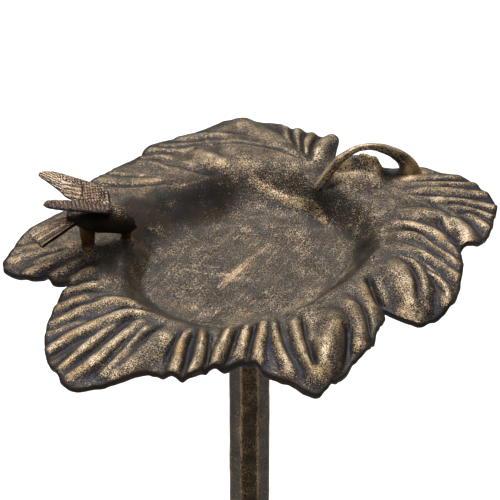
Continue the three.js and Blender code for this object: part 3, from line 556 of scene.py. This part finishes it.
def plain_steel(name):
    """Turned steel with fine scratches."""
    n = Nodes(name)
    scratch = n.streaks(2500, 300)
    tint = n.mix(n.span(n.noise(80, 4, 0.6), 0.3, 0.7), (0.50, 0.50, 0.49), (0.62, 0.62, 0.60))
    colour = n.mix(n.span(scratch, 0.55, 0.8, 0.0, 0.35), tint, (0.3, 0.3, 0.29))
    n.link(colour, n.shader.inputs["Base Color"])
    n.shader.inputs["Metallic"].default_value = 1.0
    n.link(n.span(scratch, 0.3, 0.7, 0.25, 0.45), n.shader.inputs["Roughness"])
    n.link(n.bump(scratch, 0.2, 0.0002), n.shader.inputs["Normal"])
    return n.material


def black_rubber(name):
    """Matt rubber, slightly mottled."""
    n = Nodes(name)
    speck = n.noise(700, 3, 0.6)
    colour = n.mix(n.span(speck, 0.3, 0.7), (0.018, 0.018, 0.018), (0.035, 0.034, 0.033))
    n.link(colour, n.shader.inputs["Base Color"])
    n.link(n.span(speck, 0.3, 0.7, 0.7, 0.9), n.shader.inputs["Roughness"])
    n.link(n.bump(speck, 0.3, 0.0003), n.shader.inputs["Normal"])
    return n.material


# ---------------- leaf


def rim_shape(degrees):
    """Radius of the rim with its small serrations, and the rim's depth."""
    coarse = 0.9 * smooth_noise(degrees * 0.55, degrees * 0, 2.3, 5)
    fine = 0.5 * smooth_noise(degrees * 1.7, degrees * 0, 2.1, 6)
    uneven = 0.8 * smooth_noise(degrees * 0.9, degrees * 0, 2.3, 7)
    front = np.exp(-(((degrees - FRONT_DEGREES) / FRONT_SPREAD) ** 2))
    depth = RIM_DEPTH + (FRONT_RIM_DEPTH - RIM_DEPTH) * front + uneven
    return edge_radius(degrees) + (coarse + fine), depth


def ring(degrees, radius, height):
    """Row of the leaf's mesh at that height over the basin floor."""
    x, y = plan(degrees, radius)
    return np.stack([x, y, FLOOR_Z + height], -1)


def leaf_patina(rows, relief):
    """Ridge and shade of the leaf's points; gold goes where the top stands over its surroundings."""
    top = len(relief)
    under = top + len(RIM_PROFILE) + 1
    small = (relief - blur_rows(relief, 3, 4)) / 0.8
    large = (relief - blur_rows(relief, 8, 10)) / 2.6
    x, y = rows[..., 0], rows[..., 1]
    ridge = np.full(x.shape, 0.42)
    ridge[:top] = 0.46 + 0.22 * small + 0.17 * large
    ridge[top] = ridge[top - 1] * 0.6 + 0.35
    ridge[top + 1 : under] = 0.12
    # gold brushed on thicker, with painted highlights on the floor's back edge and on the shoulders
    ridge += 0.5 * brushed(x, y, GOLD_AND_HIGHLIGHT_PATCHES)
    # painted shade from the patches on the walls and under the bird, broken up by noise
    shade = brushed(x, y, PAINTED_SHADE_PATCHES) * (0.85 + 0.35 * smooth_noise(x, y, 9, 8))
    # painted shade: the outermost ring of the top and the rolled rim are painted dark as the shaded edge,
    # along with dark patina, and the underside is painted darker as shade
    shade[top - 1] = 0.55
    shade[top:under] = 1.0
    shade[under:] = 0.6
    return ridge, shade


def leaf_bowl():
    """Shell of the leaf: top from the middle out, rounded rim, underside back to the middle."""
    degrees = np.arange(SPOKES) * 360 / SPOKES
    edge, rim_depth = rim_shape(degrees)
    crest, floor = crest_radius(degrees), foot_radius(degrees)
    lobe = edge - RIM_ROUNDING - crest
    radii = [floor * t for t in np.linspace(0.03, 1, FLOOR_RINGS)]
    radii += [floor + (crest - floor) * t for t in np.linspace(0, 1, WALL_RINGS)[1:]]
    radii += [crest + lobe * t for t in np.linspace(0, 1, LOBE_RINGS)[1:]]
    rows, reliefs = [], []
    for r in radii:
        base, relief = leaf_top(degrees, r)
        top = base + relief
        rows.append(ring(degrees, r, top))
        reliefs.append(relief)
    for out, share in RIM_PROFILE:
        rows.append(ring(degrees, edge - RIM_ROUNDING + out, top - share * rim_depth))
    # the underside follows the ribs less, and comes down to meet a deeper rim
    for t in np.linspace(1, 0, UNDER_RINGS):
        r = crest + lobe * t
        ribs = (0.6 + 0.4 * t**3) * rib_relief(*plan(degrees, r))
        z = leaf_base(degrees, r) + ribs - LEAF_THICKNESS - 0.5
        rows.append(ring(degrees, r, z - (rim_depth - RIM_DEPTH) * t**4))
    for t in np.linspace(1, 0, 5)[1:]:
        r = floor + (crest - floor) * t
        z = leaf_base(degrees, r)
        steepness = np.hypot(1, z - leaf_base(degrees, r - 1))
        rows.append(ring(degrees, r, z - LEAF_THICKNESS * steepness))
    for t in (0.6, 0.05):
        rows.append(ring(degrees, floor * t, leaf_base(degrees, floor * t) - LEAF_THICKNESS))
    rows = np.array(rows)[:, ::-1]
    obj = grid_object("leaf", rows * MM)
    patina(obj, *leaf_patina(rows, np.array(reliefs)[:, ::-1]), (0.5, 0))
    return obj


# Threaded boss under the leaf: bore, outer radius, bottom, top
BOSS = (12.3, 22, 675, 697)
# Pads for the bird's screws: bore by peg, how much wider than the peg's foot, height, gap below
PAD_BORE = {"rear": 2.8, "front": 1.8}
PAD_MARGIN, PAD_HEIGHT, PAD_GAP = 3, 8, 0.3


def boss(name, x, y, bore, outer, bottom, top):
    """Round boss under the leaf with a blind hole from below; its top is inside the leaf."""
    angle = np.linspace(0, 2 * np.pi, 64, endpoint=False)
    section = [
        (bore, top - 2), (bore, bottom + 0.5), (bore + 0.5, bottom), (outer - 0.8, bottom),
        (outer, bottom + 0.8), (outer, top - 1), (outer - 1, top),
    ]
    rows = np.array([round_row(angle, r, z, x, y) for r, z in section])
    obj = grid_object(name, rows * MM, smooth=False)
    even = np.ones(rows.shape[:2])
    patina(obj, 0.35 * even, 0.5 * even, (0.35, 0.5))
    return obj


# Direction that the stem's ribs are laid out from
STEM_ACROSS = np.array([0.37, -0.93, 0.0])
STEM_SIDES, STEM_STEPS = 40, 150


def stem_loop():
    """Ribbed bar along the stem, brushed with gold on top, with painted shade on its underside."""
    curve = spline([(x, y, FLOOR_Z + z, r) for x, y, z, r in STEM], STEM_STEPS)
    points, radii = curve[:, :3], curve[:, 3]
    tangent = np.gradient(points, axis=0)
    tangent /= np.linalg.norm(tangent, axis=1)[:, None]
    angle = np.linspace(0, 2 * np.pi, STEM_SIDES, endpoint=False)
    c, s = np.cos(angle)[:, None], np.sin(angle)[:, None]
    rows, ridge, shade = [], [], []
    for k, (p, t, r) in enumerate(zip(points, tangent, radii)):
        side = STEM_ACROSS - STEM_ACROSS.dot(t) * t
        side /= np.linalg.norm(side)
        up = np.cross(side, t)
        rib = np.cos(4 * angle + 0.9 + 1.6 * k / STEM_STEPS)
        knots = 0.35 * smooth_noise(angle * 3, 0 * angle + k, 8, 61)
        uneven = r * (1 + 0.085 * rib) + knots
        rows.append(p + uneven[:, None] * (c * side + s * up))
        worn = smooth_noise(angle * 2, 0 * angle + k, 13, 62)
        landed = step(k / STEM_STEPS, 0.72, 0.92)
        ridge.append(0.42 + 0.24 * np.sin(angle) + 0.16 * rib + 0.14 * worn + 0.75 * landed)
        # painted shade: the underside is painted dark, less so towards the landing
        shade.append(step(-np.sin(angle), 0.1, 0.7) * (1 - landed))
    obj = grid_object("stem", np.array(rows)[:, ::-1] * MM)
    patina(obj, np.array(ridge)[:, ::-1], np.array(shade)[:, ::-1], (0.5, 0.5))
    return obj


# ---------------- bird

BIRD_CENTRE = np.array([-137.0, -15.0, FLOOR_Z + 60])
BIRD_YAW = math.radians(8)
# Body in the bird's own frame: x forwards, height, half width, upwards, downwards
BIRD_BODY = [
    (-28, 3.5, 4, 2.5, 3), (-22, 2.5, 7.5, 5.5, 7), (-13, 1, 10, 8.5, 12), (-3, 0, 11.5, 11, 15),
    (7, 0, 12, 12.5, 16.5), (14, -2, 11.5, 12, 15.5), (20, -4, 10.3, 11.2, 15), (25, -6, 8.8, 10, 14),
    (29.5, -9, 6.6, 8.4, 10.5), (32.8, -12, 4, 6, 5), (34.8, -14.5, 1.6, 2.6, 1.6),
    (35.6, -15.5, 0.5, 0.7, 0.5),
]
# Wing outline in its own plane, front edge and back edge: along the wing, across it
WING_FRONT = [(0, 10), (2, 13.5), (7, 15.6), (18, 15.6), (31, 14), (52, 10.8), (64, 6), (69.5, 2), (70.7, 0)]
WING_BACK = [
    (0, -1), (3, -3), (15, -7), (34, -12.5), (45, -12.8), (51, -9.2), (62.5, -4.6), (69.5, -2.4),
    (70.7, -0.6),
]
WING_LENGTH = 70.7
WING_ROOT = (12.5, 2.6, 9.5)
WING_ALONG = (-0.887, 0.313, 0.349)
# Left (1) and right (-1) wing: direction across the wing, how much broader than the outline its
# tip is, thickness, and how far its feathers stand up
WING_ACROSS = {1: (0, 0.905, 0.425), -1: (0, 0.955, 0.297)}
WING_BLUNTNESS = {1: 0, -1: 6}
WING_THICKNESS = {1: 2.8, -1: 3.6}
WING_RELIEF = {1: 0.9, -1: 1.5}
TAIL_LENGTH, TAIL_WIDTH = 41.0, 26.0
TAIL_ROOT = (-20, 0, 0)
TAIL_DROOP = math.radians(17)
TAIL_TURN = math.radians(17)
# Eye and gape: how far forwards the eye is, how far round from the crown each is, radii there
EYE_FORWARDS, EYE_ROUND, GAPE_ROUND = 24.5, 1.05, 1.75
HEAD_RADIUS, BEAK_RADIUS = 7.5, 5
# Pegs: x, y, radius at the top and at the foot, height of the top
REAR_PEG = (-146.5, -14, 8.6, 5.6, FLOOR_Z + 52)
FRONT_PEG = (-112, -6, 6, 4, FLOOR_Z + 46)
PEG_SUNK = 1.5


def leaf_at(x, y):
    """Height of the leaf's top at a point of the plan."""
    dx, dy = x - BASIN_CENTRE[0], y - BASIN_CENTRE[1]
    base, relief = leaf_top(np.array([math.degrees(math.atan2(dy, dx))]), np.array([math.hypot(dx, dy)]))
    return FLOOR_Z + float(base[0] + relief[0])


def place_bird(points):
    """From the bird's frame into the part's."""
    c, s = math.cos(BIRD_YAW), math.sin(BIRD_YAW)
    turn = np.array([[c, s, 0], [-s, c, 0], [0, 0, 1]])
    return (np.asarray(points) @ turn + BIRD_CENTRE) * MM


def scales(along, across, length, width):
    """Overlapping rounded scales with tips towards +along: 0 in the gaps, 1 near the tips."""
    row = np.floor(along / length)
    u = along / length - row
    v = np.mod(across / width + 0.5 * np.mod(row, 2), 1) - 0.5
    inside = 1 - 0.5 * (2 * v) ** 2 - u
    return np.clip(inside / 0.2, 0, 1) * (0.4 + 0.6 * u) * (1 - (2 * np.abs(v)) ** 3)


def quills(along, across, width):
    """Long feathers side by side, with barbs that run out slantwise from the shaft."""
    v = np.mod(across / width, 1) - 0.5
    vane = 1 - (2 * np.abs(v)) ** 2.5
    barbs = 0.5 + 0.5 * np.sin(2 * np.pi * (along / 1.7 + 1.6 * np.abs(v)))
    shaft = np.exp(-((v / 0.09) ** 2))
    return np.clip(vane * (0.75 + 0.15 * barbs) + 0.15 * shaft, 0, 1)


def wing_feathers(p, q):
    """Relief of the wing's face, 0 to 1: scales near the root, then overlapping rows of quills."""
    coverts = scales(p, q, 2.9, 3.1)
    fan = q + 0.28 * (p - 28)
    inner = quills(p, fan, 4.3) * (0.55 + 0.45 * step(np.mod(p - 27, 11), 0, 1.5))
    outer = quills(p, q - 0.05 * p, 2.6)
    upper = step(q - 5.5 + 0.05 * p, 0, 1.5)
    h = coverts * (1 - step(p, 26.5, 28.5)) + inner * step(p, 28, 29) * (1 - step(p, 46, 49))
    h += outer * step(p, 46, 49)
    h = h * (1 - upper * step(p, 26, 28) * (1 - step(p, 50, 54)))
    h += coverts * upper * step(p, 26, 28) * (1 - step(p, 50, 54))
    for at, bow in ((27.5, 0.02), (9.5, 0.045), (6.5, 0.05)):
        h *= 1 - 0.9 * np.exp(-(((p - at - bow * (q - 5) ** 2) / 0.75) ** 2))
    return np.clip(h, 0, 1)


def wing(name, side, lift):
    """Plate of one wing; side is 1 for the left one. lift is how bright its feathers are brushed."""
    front, back = spline(WING_FRONT, 80), spline(WING_BACK, 80)
    tip = WING_LENGTH - 0.1
    t = 0.5 - 0.5 * np.cos(np.linspace(0, np.pi, 60))
    rim = np.maximum((1 - np.abs(2 * t - 1) ** 7) ** 0.5, 0.2)
    dark_edge = 0.6 * (rim < 0.5)
    rows, ridge, shade = [], [], []
    for p in np.linspace(0, tip, 190):
        blunt = WING_BLUNTNESS[side] * step(p, 40, 60) * (1 - step(p, 66, tip))
        high = np.interp(p, front[:, 0], front[:, 1]) + 0.3 * blunt
        low = np.interp(p, back[:, 0], back[:, 1]) - blunt
        q = low + (high - low) * t
        pp = np.full_like(q, p)
        feather = wing_feathers(pp, q) if side > 0 else scales(pp, q + 1.5, 4.2, 4.6)
        end = min(1, 0.25 + p / 3) * min(1, 0.3 + (WING_LENGTH - p) / 5)
        thick = (WING_THICKNESS[side] + 4 * math.exp(-((p / 6) ** 2))) * rim * end
        upper = thick / 2 + WING_RELIEF[side] * feather * rim
        lower = -thick / 2 - 0.3 * scales(pp, q, 6, 4) * rim
        # dark patina in the gaps between feathers, and a painted shadow at the root end where the wing
        # stands over the body
        gaps = 0.8 * (1 - step(feather, 0.05, 0.4)) + 0.9 * (p < 3.2)
        rows.append(both_faces(np.stack([pp, q, upper], -1), np.stack([pp, q, lower], -1)))
        ridge.append(both_faces(lift * (0.2 + feather), np.full_like(q, 0.3)))
        shade.append(both_faces(gaps + dark_edge, 0.85 + dark_edge))
    rows = np.array(rows)
    ex, ey = np.array(WING_ALONG), np.array(WING_ACROSS[side])
    ez = np.cross(ey, ex)
    ez /= np.linalg.norm(ez)
    world = np.array(WING_ROOT) + rows[..., :1] * ex + rows[..., 1:2] * ey + rows[..., 2:] * ez
    world[..., 1] *= side
    # the right wing is mirrored, so its columns run the other way round
    obj = grid_object(name, place_bird(world[:, ::side]))
    patina(obj, np.array(ridge)[:, ::side], np.array(shade)[:, ::side], (0.2, 0.9))
    return obj


def eye_spot(x, from_crown, size):
    """1 in the middle of an eye, fading out over that size."""
    beside = (from_crown - EYE_ROUND) * HEAD_RADIUS
    return np.exp(-(((x - EYE_FORWARDS) / size) ** 2) - (beside / size) ** 2)


def bird_body():
    """Body and head with scale-like feathers, eyes in their sockets and the line of the beak."""
    angle = np.linspace(0, 2 * np.pi, 96, endpoint=False)
    c, s = np.cos(angle), np.sin(angle)
    from_crown = np.pi - np.abs(angle - np.pi)
    rows, ridge, shade = [], [], []
    for x, z, half, up, down in spline(BIRD_BODY, 130):
        feather = scales(np.full_like(s, -x + 60), angle * 9, 2.4, 2.2)
        soft = step(x, -26, -18) * (1 - step(x, 25.5, 28))
        eye, socket = eye_spot(x, from_crown, 1.3), eye_spot(x, from_crown, 2.6)
        swell = 0.55 * feather * soft + 1.3 * eye - 0.8 * socket
        beside = (from_crown - GAPE_ROUND) * BEAK_RADIUS
        gape = np.exp(-((beside / 0.45) ** 2)) * step(x, 26, 29)
        grow = 1 + (swell - 0.5 * gape) / half
        height = z + np.where(c > 0, up, down) * c * grow
        rows.append(np.stack([np.full_like(s, x), half * s * grow, height], -1))
        # painted shadow: only the top of the body and head takes gold, and the sides and underside are
        # painted dark as the shadow under the wings, along with black patina
        top = step(c, 0.55 - 0.35 * step(x, 12, 20), 0.95)
        ridge.append(top * (0.2 + 0.5 * feather * soft) - 0.3 * gape)
        shade.append(1 - top * (0.4 + 0.6 * feather))
    obj = grid_object("bird", place_bird(np.array(rows)[:, ::-1]))
    patina(obj, np.array(ridge)[:, ::-1], np.array(shade)[:, ::-1], (0.4, 0.5))
    return obj


def turned(points, angle, i, j):
    """Points turned by the angle from their axis i towards their axis j."""
    c, s = math.cos(angle), math.sin(angle)
    out = points.copy()
    out[..., i] = points[..., i] * c - points[..., j] * s
    out[..., j] = points[..., i] * s + points[..., j] * c
    return out


def bird_tail():
    """Fan of three broad feathers, each a little roof, with square thick edges."""
    t = np.linspace(-1, 1, 66)
    third = np.clip(np.floor((t + 1) * 1.5), 0, 2)
    local = (t + 1) * 1.5 - third - 0.5
    away = np.abs(local)
    gap = 1 - (2 * away) ** 10
    end = TAIL_LENGTH + 1.2 * third - 1.4 * (2 * away) ** 3
    shaft = np.exp(-((local / 0.07) ** 2))
    border = np.exp(-(((away - 0.42) / 0.05) ** 2))
    bottom = np.full_like(t, -1.9)
    rows, ridge, shade = [], [], []
    for f in np.linspace(0, 1, 90):
        x = 4 - (4 + end) * f
        y = (5 + (TAIL_WIDTH / 2 - 5) * f**0.85) * t
        barbs = 0.5 + 0.5 * np.sin(2 * np.pi * (x / 2.1 + 1.8 * away))
        roof = 1.0 * (1 - 2 * away) + 0.25 * shaft + 0.12 * barbs - 1.0 * (1 - gap)
        top = 1.6 + roof - 0.9 * (f > 0.985)
        rows.append(both_faces(np.stack([x, y, top], -1), np.stack([x, y, bottom], -1)))
        glow = 0.2 + 0.3 * shaft + 0.2 * barbs + 0.8 * border + 0.2 * (third == 2)
        dark = 0.9 * (gap < 0.3) + (0.35 * (1 - barbs) + 0.5 * (third == 0)) * (border < 0.3)
        ridge.append(both_faces(glow, np.full_like(t, 0.2)))
        shade.append(both_faces(dark, np.full_like(t, 0.9)))
    fan = turned(turned(np.array(rows), TAIL_DROOP, 0, 2), TAIL_TURN, 0, 1)
    obj = grid_object("bird_tail", place_bird(fan + np.array(TAIL_ROOT)))
    patina(obj, ridge, shade, (0.2, 0.9))
    return obj


def bird_peg(name, peg):
    """Tapered cast peg from the leaf up into the body, with a small fillet at its foot."""
    x, y, top_r, foot_r, top = peg
    foot = leaf_at(x, y) - PEG_SUNK
    angle = np.linspace(0, 2 * np.pi, 40, endpoint=False)
    rows = []
    for f in np.linspace(0, 1, 40):
        r = foot_r + (top_r - foot_r) * f + 1.0 * math.exp(-((f / 0.07) ** 2))
        uneven = 0.35 * smooth_noise(angle * 6, 0 * angle + f * 26, 2.4, 31)
        rows.append(round_row(angle, r + uneven, foot + (top - foot) * f, x, y))
    obj = grid_object(name, np.array(rows) * MM)
    even = np.ones((len(rows), len(angle)))
    patina(obj, 0.55 * even, 0 * even, (0.55, 0))
    return obj


# ---------------- post and base

POST_ACROSS_FLATS = 38.0
POST_CORNER_R = 2.5
POST_CHAMFER = 0.6
# Top of the lower post, and the gap up to the upper one
POST_JOINT_Z, POST_JOINT_GAP = 380.0, 0.3
POINTS_PER_FLAT, POINTS_PER_CORNER = 9, 5


def heading(eighths):
    """Unit vector that many eighths of a turn round from +x."""
    a = eighths * math.pi / 4
    return np.array([math.cos(a), math.sin(a)])


def octagon_outline():
    """Points round the post with its rounded corners, and how near each is to a corner's crest."""
    points, crest = [], []
    corner = (POST_ACROSS_FLATS / 2 - POST_CORNER_R) / math.cos(math.pi / 8)
    for k in range(8):
        centre, following = corner * heading(k + 0.5), corner * heading(k + 1.5)
        for j in range(POINTS_PER_CORNER):
            share = j / (POINTS_PER_CORNER - 1)
            points.append(centre + POST_CORNER_R * heading(k + share))
            crest.append(1 - abs(2 * share - 1) * 0.5)
        start = centre + POST_CORNER_R * heading(k + 1)
        for j in range(1, POINTS_PER_FLAT):
            points.append(start + (following - centre) * j / POINTS_PER_FLAT)
            crest.append(0)
    return np.array(points), np.array(crest)


def post_section(name, bottom, top):
    """One length of the octagonal post, worn along its corners."""
    outline, crest = octagon_outline()
    along = np.arange(len(outline)) * POST_ACROSS_FLATS * math.pi / len(outline)
    low, high = bottom + POST_CHAMFER, top - POST_CHAMFER
    heights = [low, *np.linspace(low + POST_CHAMFER, high - POST_CHAMFER, 130), high]
    rows, ridge, shade = [], [], []
    for z in heights:
        dent = 0.25 * smooth_noise(along, 0 * along + z, 15, 41)
        worn = smooth_noise(along * 2.5, 0 * along + z, 14, 42)
        scratch = smooth_noise(along * 6, 0 * along + z, 30, 43)
        grow = 1 + (dent - POST_CHAMFER * (z in (low, high))) / (POST_ACROSS_FLATS / 2)
        rows.append(np.column_stack([outline * grow[:, None], np.full(len(outline), z)]))
        on_corner = 0.5 * crest * (0.5 + 0.45 * worn)
        ridge.append(0.32 + 0.08 * worn + on_corner + 0.3 * step(scratch, 0.45, 0.9))
        shade.append(0.5 - 0.5 * crest)
    obj = grid_object(name, np.array(rows) * MM)
    patina(obj, ridge, shade, (0.3, 0.6))
    return obj


# Outside of the base casting, from its foot up to the mouth of the post's socket: radius, height
BASE_SECTION = [
    (118, 5.3), (138.4, 5.3), (140, 6.8), (140, 12.8), (138.6, 15.2), (135, 17.4), (128, 19.6),
    (119, 22.6), (108, 29), (96, 35), (80, 41), (64, 48), (52, 57), (43, 69), (38, 80), (35.6, 84.4),
    (33, 86), (31.9, 88.5), (31.7, 93), (32.2, 96.6), (33.9, 98.4), (34.1, 101), (32.8, 103.2),
    (30, 104), (21, 104), (20.6, 103),
]


# Hollow below it, from the middle outwards, and the socket's radius and the height of its floor
BASE_HOLLOW = [
    (28, 67.5), (34, 60), (44, 49), (58, 40), (76, 33), (94, 27), (108, 19.5), (116, 15), (118, 5.3),
]
BASE_SOCKET = (20.6, 74)


def base_casting():
    """Dished base, worn where its section bends outwards."""
    outside = spline(BASE_SECTION, 190)
    angle = np.linspace(0, 2 * np.pi, 288, endpoint=False)
    direction = np.arctan2(np.gradient(outside[:, 1]), np.gradient(outside[:, 0]))
    bend = np.convolve(np.gradient(np.unwrap(direction)), np.ones(5) / 5, mode="same")
    rows, ridge = [], []
    for (r, z), turn in zip(outside, bend):
        clouds = smooth_noise(angle * 24, 0 * angle + r, 9, 51)
        uneven = 0.35 * smooth_noise(angle * 40, 0 * angle + z, 16, 52)
        spread = uneven * step(r, 30, 60) * (1 - step(r, 132, 137))
        rows.append(round_row(angle, r + spread, z))
        ridge.append(np.clip(0.4 + 1.6 * turn + 0.12 * clouds, 0.1, 0.85))
    under = [round_row(angle, r, z) for r, z in BASE_HOLLOW]
    grid = np.array(under + rows[1:] + [round_row(angle, *BASE_SOCKET)])
    outer = slice(len(under), len(grid) - 1)
    ridges, shades = np.full(grid.shape[:2], 0.2), np.full(grid.shape[:2], 0.8)
    ridges[outer], shades[outer] = ridge[1:], 0.25
    obj = grid_object("base", grid * MM)
    patina(obj, ridges, shades, (0.2, 0.8))
    return obj


# ---------------- put together


def add(obj, material, body, slot, *replaced):
    """Gives the piece its material and the body it rides on, and hides the CAD nodes it replaces; slot is
    not used.
    """
    obj.data.materials.append(material)
    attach(obj, body)
    if replaced:
        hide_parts(*replaced)


leaf_bronze = antique_bronze("leaf_bronze", streaks=0.045)
stem_bronze = antique_bronze("stem_bronze", BODY, BLACK_BROWN, (GOLD, PALE_GOLD), -0.055)
bird_bronze = antique_bronze("bird_bronze", (0.13, 0.09, 0.062), BLACK_BROWN, (COPPER, PALE_COPPER), -0.055)
# the bird's body gets the darker bronze, partly black patina and partly painted shadow under the wings
body_bronze = antique_bronze("body_bronze", BODY, BLACK_BROWN, (COPPER, PALE_GOLD), -0.04)
plum_bronze = antique_bronze("plum_bronze", (0.085, 0.066, 0.06), BLACK_BROWN, (DULL_COPPER, COPPER), -0.06)
peg_bronze = antique_bronze("peg_bronze", PEG_BROWN, PEG_BROWN, (PEG_BROWN, GOLD), 0.02)
post_bronze = antique_bronze("post_bronze", (0.045, 0.026, 0.011), BLACK_BROWN, (GOLD, GOLD), -0.05)
base_bronze = antique_bronze("base_bronze", (0.040, 0.031, 0.023), BLACK_BROWN, level=-0.01)
steel = plain_steel("fastener_steel")
rubber = black_rubber("black_rubber")

# Materials of the CAD nodes by how their names start; the rest are steel
CAD_MATERIALS = {
    "foot": rubber, "seat": rubber, "post": post_bronze, "base": base_bronze, "leaf": leaf_bronze,
    "stem": leaf_bronze, "bird_body": bird_bronze, "bird_wing": bird_bronze,
}
for node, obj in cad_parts.items():
    matches = [material for start, material in CAD_MATERIALS.items() if node.startswith(start)]
    obj.data.materials.clear()
    obj.data.materials.append(matches[0] if matches else steel)


add(leaf_bowl(), leaf_bronze, "bowl", "leaf_bronze", "leaf_bowl")
add(boss("boss", 0, 0, *BOSS), leaf_bronze, "bowl", "leaf_bronze")
for end, (x, y, _, foot_r, _) in (("rear", REAR_PEG), ("front", FRONT_PEG)):
    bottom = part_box("bird_washer_" + end)[1][2] / MM + PAD_GAP
    pad = boss("pad_" + end, x, y, PAD_BORE[end], foot_r + PAD_MARGIN, bottom, bottom + PAD_HEIGHT)
    add(pad, leaf_bronze, "bowl", "leaf_bronze")
add(stem_loop(), stem_bronze, "bowl", "leaf_bronze", "stem_loop")
add(bird_body(), body_bronze, "bowl", "bird_bronze", "bird_body")
add(bird_tail(), bird_bronze, "bowl", "bird_bronze")
add(wing("wing_left", 1, 0.75), bird_bronze, "bowl", "bird_bronze", "bird_wing_left")
add(wing("wing_right", -1, 0.6), plum_bronze, "bowl", "bird_bronze", "bird_wing_right")
add(bird_peg("peg_rear", REAR_PEG), peg_bronze, "bowl", "bird_bronze")
add(bird_peg("peg_front", FRONT_PEG), peg_bronze, "bowl", "bird_bronze")
upper = post_section("upper_post", POST_JOINT_Z + POST_JOINT_GAP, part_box("post_upper")[1][2] / MM)
add(upper, post_bronze, "stand", "post_bronze", "post_upper")
lower = post_section("lower_post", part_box("post_lower")[0][2] / MM, POST_JOINT_Z)
add(lower, post_bronze, "stand", "post_bronze", "post_lower")
add(base_casting(), base_bronze, "stand", "base_bronze", "base_casting")

# ---------------- stage

TARGET = Vector((0.0005, -0.015, 0.723))
CAMERA_ELEVATION = 35.0
CAMERA_DISTANCE = 3.0
FRAME_WIDTH_AT_TARGET = 0.454545
SENSOR = 36.0
FLOOR_SIZE = 30
FLOOR_WHITE = (0.93, 0.93, 0.93, 1)
SURROUND_STRENGTH = 0.16
# Softboxes: name, azimuth (0 in front, 90 to the right), elevation, distance, width, height,
# power, colour
LIGHTS = [
    ("overhead", 180, 68, 2.2, 1.5, 1.1, 110, (0.93, 0.96, 1.0)),
    ("front", 20, 60, 2.6, 1.0, 0.8, 30, (1.0, 0.96, 0.9)),
    ("left", -80, 35, 2.8, 0.8, 1.2, 20, (0.95, 0.97, 1.0)),
]


def aim(name, data, azimuth, elevation, distance):
    """New object in that direction from the target, looking back at it."""
    a, e = math.radians(azimuth), math.radians(elevation)
    out = Vector((math.sin(a) * math.cos(e), -math.cos(a) * math.cos(e), math.sin(e)))
    obj = bpy.data.objects.new(name, data)
    bpy.context.scene.collection.objects.link(obj)
    obj.location = TARGET + out * distance
    obj.rotation_mode = "QUATERNION"
    obj.rotation_quaternion = (-out).to_track_quat("-Z", "Y")
    return obj


def camera():
    data = bpy.data.cameras.new("camera")
    data.sensor_width = SENSOR
    data.lens = SENSOR * CAMERA_DISTANCE / FRAME_WIDTH_AT_TARGET
    data.clip_end = 50
    bpy.context.scene.camera = aim("camera", data, 0, CAMERA_ELEVATION, CAMERA_DISTANCE)


def softbox(name, azimuth, elevation, distance, width, height, power, colour):
    data = bpy.data.lights.new(name, "AREA")
    data.shape = "RECTANGLE"
    data.size, data.size_y = width, height
    data.energy = power
    data.color = colour
    aim(name, data, azimuth, elevation, distance)


def stage():
    """Pale floor, pale surroundings and soft lights."""
    bpy.ops.mesh.primitive_plane_add(size=FLOOR_SIZE, location=(0, 0, 0))
    floor = bpy.context.object
    floor.name = "studio_floor"
    n = Nodes("studio_floor")
    n.shader.inputs["Base Color"].default_value = FLOOR_WHITE
    n.shader.inputs["Roughness"].default_value = 0.9
    floor.data.materials.append(n.material)
    world = bpy.data.worlds.new("studio")
    bpy.context.scene.world = world
    world.use_nodes = True
    background = world.node_tree.nodes["Background"]
    background.inputs[0].default_value = (1, 1, 1, 1)
    background.inputs[1].default_value = SURROUND_STRENGTH
    for light in LIGHTS:
        softbox(*light)
    bpy.context.scene.view_settings.view_transform = "Standard"


camera()
stage()
